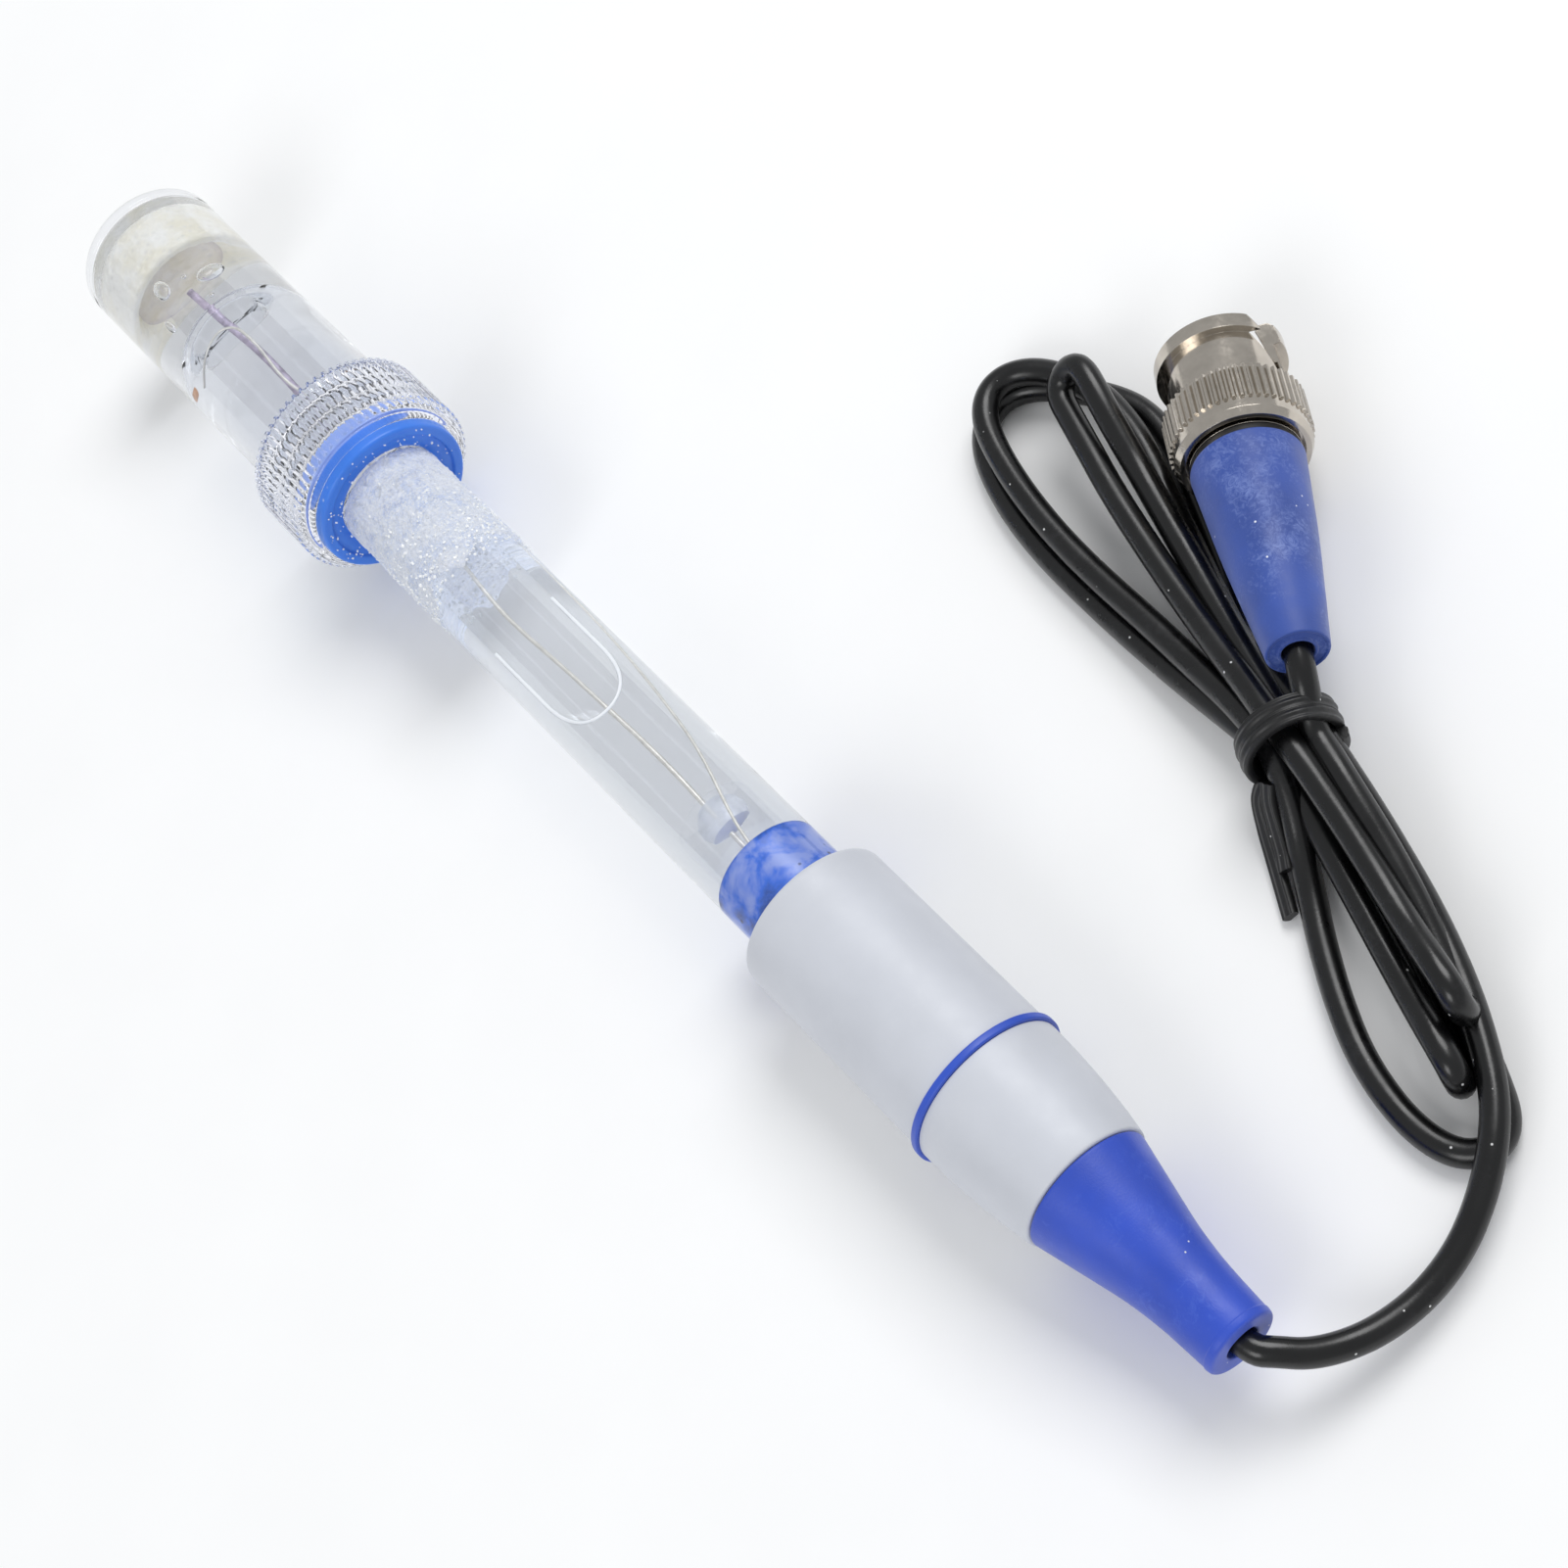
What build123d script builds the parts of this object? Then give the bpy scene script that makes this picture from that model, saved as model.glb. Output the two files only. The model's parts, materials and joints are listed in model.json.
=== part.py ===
from build123d import *
import os
from math import atan, cos, degrees, pi, radians, sin, tan

os.makedirs("parts", exist_ok=True)

# Fits and clearances, radial unless a name says otherwise
glued_fit = 0.03
sliding_fit = 0.12
running_fit = 0.08
face_gap = 0.05

# Glass body, stem and bulb
glass_diameter = 12.0
glass_wall = 1.0
shoulder_wall = 1.4
shoulder_rounding = 1.1
stem_diameter = 5.2
stem_wall = 0.7
stem_to_stopper = 1.75
bulb_diameter = 8.0
bulb_wall = 0.45
bulb_neck_angle = 36.0
bulb_reach = 14.3
glass_in_handle = 9.0
visible_glass = 72.7
junction_diameter = 1.0
junction_reach = 3.2

# Wires, seals and filling inside the glass
measuring_wire_diameter = 0.8
wires_in_stopper = 7.0
reference_wire_diameter = 0.5
reference_wire_offset = 4.3
reference_wire_bend = 0.8
stem_seal_length = 6.0
stem_seal_chamfer = 0.7
stem_seal_diameter = 7.2
stopper_length = 17.0
stopper_dish = 1.6
stopper_edge = 0.9
bubble_reach = 42.7
bubble_depth = 2.25
bubble_end_radius = 4.0

# Handle, trim ring and strain relief
handle_diameter = 16.7
handle_front_length = 25.2
handle_wall = 1.0
handle_end_wall = 2.2
handle_edge = 0.7
handle_spigot_length = 5.0
trim_ring_diameter = 17.5
trim_ring_width = 0.9
taper_length = 13.4
taper_end_diameter = 14.2
taper_bulge = 0.28
relief_start_diameter = 13.8
relief_waist_diameter = 8.2
relief_end_diameter = 7.5
relief_cone_length = 12.4
relief_end_length = 7.8
relief_plug_diameter = 9.0
relief_plug_length = 8.0
relief_bore_depth = 4.0
relief_edge = 0.6

# Storage bottle, its cap and its gasket
bottle_diameter = 17.3
bottle_wall = 0.9
bottle_length = 47.6
bottle_floor = 1.3
bottle_rim_step = 1.6
bottle_rim_groove = 0.3
bottle_corner = 0.9
thread_height = 0.35
thread_width = 0.9
thread_pitch = 2.4
thread_count = 2
thread_clearance = 0.1
cap_length = 9.9
cap_wall = 1.1
cap_lip = 1.6
cap_rib_count = 66
cap_rib_height = 0.35
cap_edge = 1.1
gasket_shoulder_width = 0.3
gasket_flange_height = 1.4
gasket_proud = 1.1
gasket_step_depth = 0.35
gasket_rim_width = 1.25
sponge_length = 9.0
bulb_tip_gap = 3.4
sponge_clearance = 0.3

# Plug: coupling sleeve, body, contacts and boot
plug_tilt = 10.0
plug_heading = -30.1
plug_front = (18.95, 67.5)
sleeve_flange_diameter = 13.2
sleeve_flange_width = 2.1
sleeve_barrel_diameter = 11.6
sleeve_bore_diameter = 9.9
sleeve_barrel_length = 5.7
sleeve_length = 13.9
sleeve_lip_length = 1.4
sleeve_recess_depth = 1.0
sleeve_recess_gap = 0.3
sleeve_edge = 0.4
knurl_diameter = 14.3
knurl_root_diameter = 13.7
knurl_length = 4.1
knurl_count = 54
slot_start = 3.5
slot_width = 2.3
slot_rise = 3.45
slot_turn = 110.0
lug_hole_diameter = 2.5
lug_groove_depth = 0.55
ferrule_diameter = 8.1
ferrule_wall = 0.45
ferrule_reach = 6.6
finger_slots = 4
finger_slot_width = 0.5
body_neck_diameter = 9.1
body_neck_length = 3.3
body_flange_diameter = 11.2
body_flange_width = 1.2
washer_thickness = 0.3
sleeve_push_travel = 0.6
clip_thickness = 0.6
clip_diameter = 9.7
insulator_diameter = 4.9
insulator_recess = 1.6
seal_thickness = 0.9
seal_diameter = 9.5
clip_groove_depth = 0.3
contact_pin_diameter = 1.35
contact_pin_recess = 1.0
contact_pin_taper = 0.7
rear_ring_width = 0.6
rear_ring_diameter = 11.0
boot_start_diameter = 11.4
boot_waist_diameter = 9.5
boot_end_diameter = 6.2
boot_start_length = 10.5
boot_end_length = 12.9
boot_bore_depth = 4.0
boot_core_diameter = 6.0
boot_core_length = 7.0

# Cable, its hank and the wire tie
cable_diameter = 2.8
cable_bore_diameter = 3.1
cable_exit_run = 0.9
tie_width = 3.2
tie_thickness = 1.0
tie_groove_width = 0.3
tie_groove_depth = 0.25
tie_tail_width = 1.9
tie_tail_bend = 1.2

# Route of the reference wire: distance from the glass tip or before the stopper, height and side
reference_hook_points = [(3.8, 2.3, -3.3), (3.8, 4.1, 0.0), (4.6, 2.6, 3.1), (8.8, 0.1, 4.3)]
reference_climb_points = [(34.0, -0.2, 4.3), (13.6, 3.0, 3.1)]

# Route of the free cable from the strain relief to the hank, and from the hank to the boot
lead_points = [
    (96.3, 0.6, 7.4), (98.2, 3.9, 6.2), (98.8, 8.4, 4.5), (98.9, 13.6, 2.8),
    (97.9, 19.0, 1.8), (95.7, 24.2, 1.5), (92.3, 28.5, 1.5), (87.9, 30.8, 2.0),
]
tail_points = [(54.6, 45.5, 9.7), (59.0, 42.6, 8.4)]

# Hank of cable as one outer shape: centre, width and height of each section, with the tied waist apart
upper_sections = [
    ((-0.9, 53.4, 3.0), 6.5, 4.4),
    ((4.1, 53.1, 3.2), 13.5, 5.8),
    ((15.0, 51.3, 3.3), 16.0, 6.0),
    ((28.0, 49.1, 3.7), 13.0, 6.4),
    ((39.9, 46.8, 4.8), 10.4, 7.2),
    ((47.8, 45.1, 5.9), 9.8, 7.6),
]
waist_section = ((55.5, 43.4, 7.5), 10.0, 10.2)
lower_sections = [
    ((64.7, 39.2, 6.2), 10.6, 8.2),
    ((74.6, 34.8, 4.6), 12.0, 7.2),
    ((84.5, 30.4, 3.6), 11.4, 6.0),
    ((92.8, 27.3, 2.9), 6.4, 4.4),
]
tie_tail_points = [
    (53.9, 38.3, 6.4), (55.2, 36.5, 3.2), (58.0, 34.8, 1.4), (61.6, 33.1, 1.2), (64.9, 31.5, 1.2),
]

# Radii
glass_r = glass_diameter / 2
glass_inner_r = glass_r - glass_wall
stem_r = stem_diameter / 2
stem_inner_r = stem_r - stem_wall
bulb_r = bulb_diameter / 2
bottle_r = bottle_diameter / 2
bottle_inner_r = bottle_r - bottle_wall
gasket_flange_r = bottle_r + 2 * thread_height
gasket_neck_r = gasket_flange_r - gasket_shoulder_width
cap_r = gasket_flange_r + face_gap + cap_wall + cap_rib_height
handle_r = handle_diameter / 2
trim_r = trim_ring_diameter / 2
relief_end_r = relief_end_diameter / 2
cable_r = cable_diameter / 2
cable_bore_r = cable_bore_diameter / 2

# Stations along the electrode, from the bottom of the bottle to the end of the strain relief
gasket_inner = bottle_length + face_gap
gasket_shoulder = gasket_inner + gasket_flange_height
cap_front = gasket_shoulder + face_gap + cap_lip
cap_rear = cap_front - cap_length
gasket_face = cap_front + gasket_proud
bulb_tip = bottle_floor + bulb_tip_gap
bulb_centre = bulb_tip + bulb_r
glass_tip = bulb_tip + bulb_reach
junction_station = glass_tip + junction_reach
handle_start = gasket_face + visible_glass
glass_end = handle_start + glass_in_handle
front_end = handle_start + handle_front_length
taper_start = front_end + trim_ring_width
taper_end = taper_start + taper_length
cone_end = taper_end + relief_cone_length
total_length = cone_end + relief_end_length
stopper_end = glass_end - face_gap
stopper_start = stopper_end - stopper_length
stem_end = stopper_start - stem_to_stopper
wires_end = stopper_start + wires_in_stopper
meniscus = stopper_start - face_gap
sponge_start = bottle_floor + face_gap
sponge_end = bottle_floor + sponge_length
spigot_start = front_end - handle_spigot_length
relief_plug_start = taper_end - relief_plug_length
lead_start = total_length - relief_bore_depth + face_gap

# The electrode lies on the cap's front corner and on the trim ring, so its axis is tilted
cap_contact = cap_front - cap_edge
ring_contact = front_end + trim_ring_width / 2
tilt = atan((cap_r - trim_r) / (ring_contact - cap_contact))
axis_height = cap_contact * sin(tilt) + cap_r * cos(tilt)
axis_start = Vector(-total_length / 2 * cos(tilt), 0, axis_height)
axis_plane = Plane(origin=axis_start, x_dir=(cos(tilt), 0, -sin(tilt)), z_dir=(0, -1, 0))
main_axis = Axis(axis_start, axis_plane.x_dir)

# The plug lies on its front flange with the boot raised by the hank
plug_height = sleeve_flange_diameter / 2 * cos(radians(plug_tilt))
plug_start = Vector(*plug_front, plug_height)
plug_direction = Vector(
    cos(radians(plug_tilt)) * cos(radians(plug_heading)),
    cos(radians(plug_tilt)) * sin(radians(plug_heading)),
    sin(radians(plug_tilt)),
)
plug_side_normal = Vector(sin(radians(plug_heading)), -cos(radians(plug_heading)), 0)
plug_plane = Plane(origin=plug_start, x_dir=plug_side_normal, z_dir=plug_direction)
plug_profile_plane = Plane(origin=plug_start, x_dir=plug_direction, z_dir=plug_side_normal)
plug_axis = Axis(plug_start, plug_direction)


def profile(plane, *points):
    """Closed outline on a plane that holds the axis: distance along it, then radius."""
    with BuildSketch(plane) as outline:
        with BuildLine():
            Polyline(*points, close=True)
        make_face()
    return outline.sketch


def bar(plane, start, end, inner, outer):
    """Outline of a plain ring or rod between two stations and two radii."""
    return profile(plane, (start, inner), (end, inner), (end, outer), (start, outer))


def bend_radii(points):
    """Radius of each arc of a cord's route, as large as its two runs allow."""
    radii = []
    for before, corner, after in zip(points, points[1:], points[2:]):
        first = Vector(*corner) - Vector(*before)
        second = Vector(*after) - Vector(*corner)
        half_turn = radians(first.get_angle(second)) / 2
        radii.append(0.45 * min(first.length, second.length) / tan(half_turn))
    return radii


def ribbed_outline(count, crest, root, share):
    """Points of a toothed round outline: crests and roots by turns."""
    points = []
    pitch = 2 * pi / count
    for tooth in range(count):
        middle = tooth * pitch
        for offset, radius in ((-share, crest), (share, crest), (0.5 - share, root), (0.5 + share, root)):
            angle = middle + offset * pitch
            points.append((radius * cos(angle), radius * sin(angle)))
    return points


def export(part, name):
    part.label = name
    export_step(part, f"parts/{name}.step")


# Outer glass tube, closed at the tip by a shoulder round the stem
with BuildPart() as body_tube:
    revolve(
        profile(
            axis_plane,
            (glass_tip, stem_r + glued_fit),
            (glass_tip, glass_r),
            (glass_end, glass_r),
            (glass_end, glass_inner_r),
            (glass_tip + shoulder_wall, glass_inner_r),
            (glass_tip + shoulder_wall, stem_r + glued_fit),
        ),
        axis=main_axis,
    )
    tip_edge = body_tube.edges().filter_by(GeomType.CIRCLE).group_by(SortBy.RADIUS)[-1].sort_by(Axis.X)[0]
    fillet(tip_edge, radius=shoulder_rounding)
    with Locations(axis_plane * Location((junction_station, 0, glass_inner_r + glass_wall / 2))):
        Cylinder(junction_diameter / 2 + glued_fit, 2 * glass_wall, mode=Mode.SUBTRACT)
export(body_tube.part, "body_tube")

# Porous ceramic junction through the side of the glass
with BuildPart() as ceramic_junction:
    with Locations(axis_plane * Location((junction_station, 0, glass_inner_r + glass_wall / 2))):
        Cylinder(junction_diameter / 2, glass_wall)
export(ceramic_junction.part, "ceramic_junction")

# Inner stem with its blown glass bulb
inner_bulb_r = bulb_r - bulb_wall
neck_end = glass_tip - stem_wall
with BuildPart() as inner_stem:
    with BuildSketch(axis_plane):
        with BuildLine():
            outer_bulb = CenterArc((bulb_centre, 0), bulb_r, bulb_neck_angle, 180 - bulb_neck_angle)
            inner_bulb = CenterArc((bulb_centre, 0), inner_bulb_r, bulb_neck_angle, 180 - bulb_neck_angle)
            Line(outer_bulb @ 1, inner_bulb @ 1)
            Polyline(
                outer_bulb @ 0,
                (neck_end, stem_r),
                (stem_end, stem_r),
                (stem_end, stem_inner_r),
                (neck_end, stem_inner_r),
                inner_bulb @ 0,
            )
        make_face()
    revolve(axis=main_axis)
export(inner_stem.part, "inner_stem")

# Silver wire with its silver chloride coat, along the stem
wire_r = measuring_wire_diameter / 2
with BuildPart() as measuring_wire:
    revolve(bar(axis_plane, bulb_centre, wires_end, 0, wire_r), axis=main_axis)
export(measuring_wire.part, "measuring_wire")

# White seal that closes the end of the stem
seal_r = stem_seal_diameter / 2
seal_start = stem_end - stem_seal_length
dish_bottom = stopper_start + stopper_dish
wire_hole_r = wire_r + glued_fit
with BuildPart() as stem_seal:
    revolve(
        profile(
            axis_plane,
            (seal_start, stem_r + glued_fit),
            (seal_start, seal_r - stem_seal_chamfer),
            (seal_start + stem_seal_chamfer, seal_r),
            (dish_bottom - face_gap, seal_r),
            (dish_bottom - face_gap, wire_hole_r),
            (stem_end + face_gap, wire_hole_r),
            (stem_end + face_gap, stem_r + glued_fit),
        ),
        axis=main_axis,
    )
export(stem_seal.part, "stem_seal")

# Blue stopper in the end of the glass, dished round the seal
reference_r = reference_wire_diameter / 2
with BuildPart() as stopper:
    revolve(
        profile(
            axis_plane,
            (dish_bottom, wire_hole_r),
            (dish_bottom, seal_r + glued_fit),
            (stopper_start, glass_inner_r - stopper_edge),
            (stopper_start + stopper_edge, glass_inner_r - glued_fit),
            (stopper_end, glass_inner_r - glued_fit),
            (stopper_end, wire_hole_r),
        ),
        axis=main_axis,
    )
    with Locations(axis_plane * Location((stopper_start, reference_wire_offset, 0), (0, 90, 0))):
        Cylinder(reference_r + glued_fit, 3 * stopper_length, mode=Mode.SUBTRACT)
export(stopper.part, "stopper")

# Reference wire: a hook round the stem at the tip, then along one wall and up to the stopper
reference_route = [(glass_tip + distance, height, side) for distance, height, side in reference_hook_points]
reference_route += [(stopper_start - before, height, side) for before, height, side in reference_climb_points]
reference_route += [
    (stopper_start - 2 * stopper_edge, reference_wire_offset, 0),
    (wires_end, reference_wire_offset, 0),
]


def reference_sweep(radius):
    """Round bar along the reference wire's route."""
    with BuildPart() as bar_part:
        with BuildLine(axis_plane) as path:
            FilletPolyline(*reference_route, radius=reference_wire_bend)
        with BuildSketch(Plane(path.line @ 0, z_dir=path.line % 0)):
            Circle(radius)
        sweep(path=path.line)
    return bar_part.part


with BuildPart() as reference_wire:
    add(reference_sweep(reference_r))
export(reference_wire.part, "reference_wire")

# Electrolyte round the stem, with the long air bubble that lies on its upper side
electrolyte_start = glass_tip + shoulder_wall + face_gap
bubble_start = gasket_face + face_gap
bubble_floor = glass_inner_r - bubble_depth
bubble_half_width = (glass_inner_r**2 - bubble_floor**2) ** 0.5
bubble_plane = Plane(
    origin=main_axis.position + main_axis.direction * bubble_start + axis_plane.y_dir * bubble_floor,
    x_dir=main_axis.direction,
    z_dir=axis_plane.y_dir,
)
with BuildPart() as reference_electrolyte:
    revolve(
        bar(axis_plane, electrolyte_start, meniscus, stem_r + glued_fit, glass_inner_r - glued_fit),
        axis=main_axis,
    )
    revolve(
        bar(axis_plane, seal_start - face_gap, stopper_end, 0, seal_r + glued_fit),
        axis=main_axis,
        mode=Mode.SUBTRACT,
    )
    with BuildSketch(bubble_plane):
        with Locations((bubble_reach / 2, 0)):
            RectangleRounded(bubble_reach, 2 * bubble_half_width, bubble_end_radius)
    extrude(amount=glass_r, mode=Mode.SUBTRACT)
    add(reference_sweep(reference_r + glued_fit), mode=Mode.SUBTRACT)
export(reference_electrolyte.part, "reference_electrolyte")

# Grey front shell of the handle
handle_inner_r = handle_r - handle_wall
with BuildPart() as handle_front:
    revolve(
        profile(
            axis_plane,
            (handle_start, glass_r + glued_fit),
            (handle_start, handle_r),
            (front_end, handle_r),
            (front_end, handle_inner_r),
            (handle_start + handle_end_wall, handle_inner_r),
            (handle_start + handle_end_wall, glass_r + glued_fit),
        ),
        axis=main_axis,
    )
    front_edges = handle_front.edges().filter_by(GeomType.CIRCLE).group_by(SortBy.RADIUS)[-1]
    fillet(front_edges.sort_by(Axis.X)[0], radius=handle_edge)
export(handle_front.part, "handle_front")

# Resin that holds the glass in the shell
potting_start = handle_start + handle_end_wall + face_gap
with BuildPart() as potting:
    revolve(
        bar(axis_plane, potting_start, glass_end, glass_r + glued_fit, handle_inner_r - glued_fit),
        axis=main_axis,
    )
export(potting.part, "potting")

# Blue trim ring between the two grey shells
spigot_r = handle_inner_r - glued_fit
with BuildPart() as trim_ring:
    revolve(
        bar(axis_plane, front_end + face_gap, taper_start - face_gap, spigot_r + glued_fit, trim_r),
        axis=main_axis,
    )
export(trim_ring.part, "trim_ring")

# Grey rear shell: a spigot, then the convex taper
taper_end_r = taper_end_diameter / 2
relief_plug_r = relief_plug_diameter / 2
spigot_inner_r = spigot_r - handle_wall
with BuildPart() as handle_rear:
    with BuildSketch(axis_plane):
        with BuildLine():
            taper = ThreePointArc(
                (taper_start, handle_r),
                ((taper_start + taper_end) / 2, (handle_r + taper_end_r) / 2 + taper_bulge),
                (taper_end, taper_end_r),
            )
            Polyline(
                taper @ 1,
                (taper_end, relief_plug_r + glued_fit),
                (taper_end - handle_end_wall, relief_plug_r + glued_fit),
                (taper_end - handle_end_wall, spigot_inner_r),
                (spigot_start, spigot_inner_r),
                (spigot_start, spigot_r),
                (taper_start, spigot_r),
                taper @ 0,
            )
        make_face()
    revolve(axis=main_axis)
export(handle_rear.part, "handle_rear")

# Blue strain relief with its plug in the rear shell
relief_start = taper_end + face_gap
relief_head_r = relief_plug_r + handle_wall
relief_head_end = taper_end - handle_end_wall - face_gap
with BuildPart() as strain_relief:
    revolve(
        profile(
            axis_plane,
            (relief_plug_start, 0),
            (relief_plug_start, relief_head_r),
            (relief_head_end, relief_head_r),
            (relief_head_end, relief_plug_r),
            (relief_start, relief_plug_r),
            (relief_start, relief_start_diameter / 2),
            (cone_end, relief_waist_diameter / 2),
            (total_length, relief_end_r),
            (total_length, 0),
        ),
        axis=main_axis,
    )
    revolve(
        bar(axis_plane, total_length - relief_bore_depth, total_length, 0, cable_bore_r),
        axis=main_axis,
        mode=Mode.SUBTRACT,
    )
    mouth_edges = strain_relief.faces().sort_by(Axis.X)[-1].edges().filter_by(GeomType.CIRCLE)
    fillet(mouth_edges.sort_by(SortBy.RADIUS)[-1], radius=relief_edge)
export(strain_relief.part, "strain_relief")


def ridge(station, root, wall, crest):
    """Outline of one thread ridge at a station, rooted in a wall."""
    return profile(
        axis_plane,
        (station - thread_width, root),
        (station - thread_width, wall),
        (station - thread_width / 3, crest),
        (station + thread_width / 3, crest),
        (station + thread_width, wall),
        (station + thread_width, root),
    )


# Storage bottle: rimmed bottom, plain wall and threaded neck
thread_crest_r = bottle_r + thread_height
with BuildPart() as bottle:
    revolve(
        profile(
            axis_plane,
            (bottle_floor / 2, 0),
            (bottle_floor / 2, bottle_inner_r - bottle_wall),
            (0, bottle_inner_r - bottle_wall / 2),
            (0, bottle_r - bottle_corner),
            (bottle_corner, bottle_r),
            (bottle_rim_step, bottle_r),
            (bottle_rim_step, bottle_r - bottle_rim_groove),
            (bottle_rim_step + bottle_rim_groove, bottle_r - bottle_rim_groove),
            (bottle_rim_step + 2 * bottle_rim_groove, bottle_r),
            (bottle_length, bottle_r),
            (bottle_length, bottle_inner_r),
            (bottle_floor, bottle_inner_r),
            (bottle_floor, 0),
        ),
        axis=main_axis,
    )
    for turn in range(thread_count):
        ridge_station = bottle_length - (turn + 1) * thread_pitch
        revolve(ridge(ridge_station, bottle_r - bottle_wall / 2, bottle_r, thread_crest_r), axis=main_axis)
export(bottle.part, "bottle")

# Sponge in the bottom of the bottle, dented by the bulb
with BuildPart() as sponge:
    revolve(
        bar(axis_plane, sponge_start, sponge_end, 0, bottle_inner_r - sliding_fit),
        axis=main_axis,
    )
    with Locations(axis_plane * Location((bulb_centre, 0, 0))):
        Sphere(bulb_r + sponge_clearance, mode=Mode.SUBTRACT)
    revolve(
        bar(axis_plane, bulb_centre, sponge_end, 0, bulb_r + sponge_clearance),
        axis=main_axis,
        mode=Mode.SUBTRACT,
    )
export(sponge.part, "sponge")

# Storage solution round the tip, open enough for the electrode to draw out straight
with BuildPart() as storage_solution:
    revolve(
        profile(
            axis_plane,
            (sponge_end + face_gap, bulb_r + sponge_clearance),
            (sponge_end + face_gap, bottle_inner_r - glued_fit),
            (gasket_inner - face_gap, bottle_inner_r - glued_fit),
            (gasket_inner - face_gap, glass_r + sliding_fit),
            (glass_tip - sliding_fit, glass_r + sliding_fit),
            (glass_tip - sliding_fit, bulb_r + sponge_clearance),
        ),
        axis=main_axis,
    )
export(storage_solution.part, "storage_solution")

# Ribbed screw cap with its open front lip
cap_root_r = cap_r - cap_rib_height
cap_inner_r = cap_root_r - cap_wall
neck_hole_r = gasket_neck_r + running_fit
cap_plane = Plane(origin=axis_plane.from_local_coords((cap_rear, 0, 0)), z_dir=axis_plane.x_dir)
rib_length = cap_contact - cap_rear
with BuildPart() as bottle_cap:
    with BuildSketch(cap_plane):
        with BuildLine():
            Polyline(*ribbed_outline(cap_rib_count, cap_r, cap_root_r, 0.17), close=True)
        make_face()
    extrude(amount=rib_length)
    revolve(
        profile(
            axis_plane,
            (cap_contact, 0),
            (cap_contact, cap_root_r),
            (cap_front, cap_root_r - cap_edge),
            (cap_front, 0),
        ),
        axis=main_axis,
    )
    revolve(
        profile(
            axis_plane,
            (cap_rear, 0),
            (cap_rear, cap_inner_r),
            (cap_front - cap_lip, cap_inner_r),
            (cap_front - cap_lip, neck_hole_r),
            (cap_front, neck_hole_r),
            (cap_front, 0),
        ),
        axis=main_axis,
        mode=Mode.SUBTRACT,
    )
    for turn in range(thread_count):
        ridge_station = bottle_length - (turn + 1.5) * thread_pitch
        revolve(
            ridge(ridge_station, cap_inner_r + cap_wall / 2, cap_inner_r, thread_crest_r + thread_clearance),
            axis=main_axis,
        )
export(bottle_cap.part, "bottle_cap")

# Blue gasket: a flange between rim and lip, and a neck that stands through the lip
gasket_step_r = gasket_neck_r - gasket_rim_width
gasket_bore_r = glass_r + running_fit
with BuildPart() as bottle_gasket:
    revolve(
        profile(
            axis_plane,
            (gasket_inner, gasket_bore_r),
            (gasket_inner, gasket_flange_r),
            (gasket_shoulder, gasket_flange_r),
            (gasket_shoulder, gasket_neck_r),
            (gasket_face, gasket_neck_r),
            (gasket_face, gasket_step_r),
            (gasket_face - gasket_step_depth, gasket_step_r),
            (gasket_face - gasket_step_depth, gasket_bore_r),
        ),
        axis=main_axis,
    )
export(bottle_gasket.part, "bottle_gasket")

# Stations along the plug, from the front of its coupling sleeve
knurl_start = sleeve_flange_width + sleeve_barrel_length
knurl_end = knurl_start + knurl_length
lip_end = sleeve_length - sleeve_recess_depth
lip_start = lip_end - sleeve_lip_length
neck_start = lip_start - body_neck_length
ferrule_start = neck_start - ferrule_reach
flange_start = lip_end + face_gap
flange_end = flange_start + body_flange_width
boot_start = flange_end + rear_ring_width + 2 * face_gap
boot_waist = boot_start + boot_start_length
boot_end = boot_waist + boot_end_length
sleeve_bore_r = sleeve_bore_diameter / 2
knurl_root_r = knurl_root_diameter / 2
barrel_r = sleeve_barrel_diameter / 2
neck_r = body_neck_diameter / 2
recess_r = body_flange_diameter / 2 + sleeve_recess_gap

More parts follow.
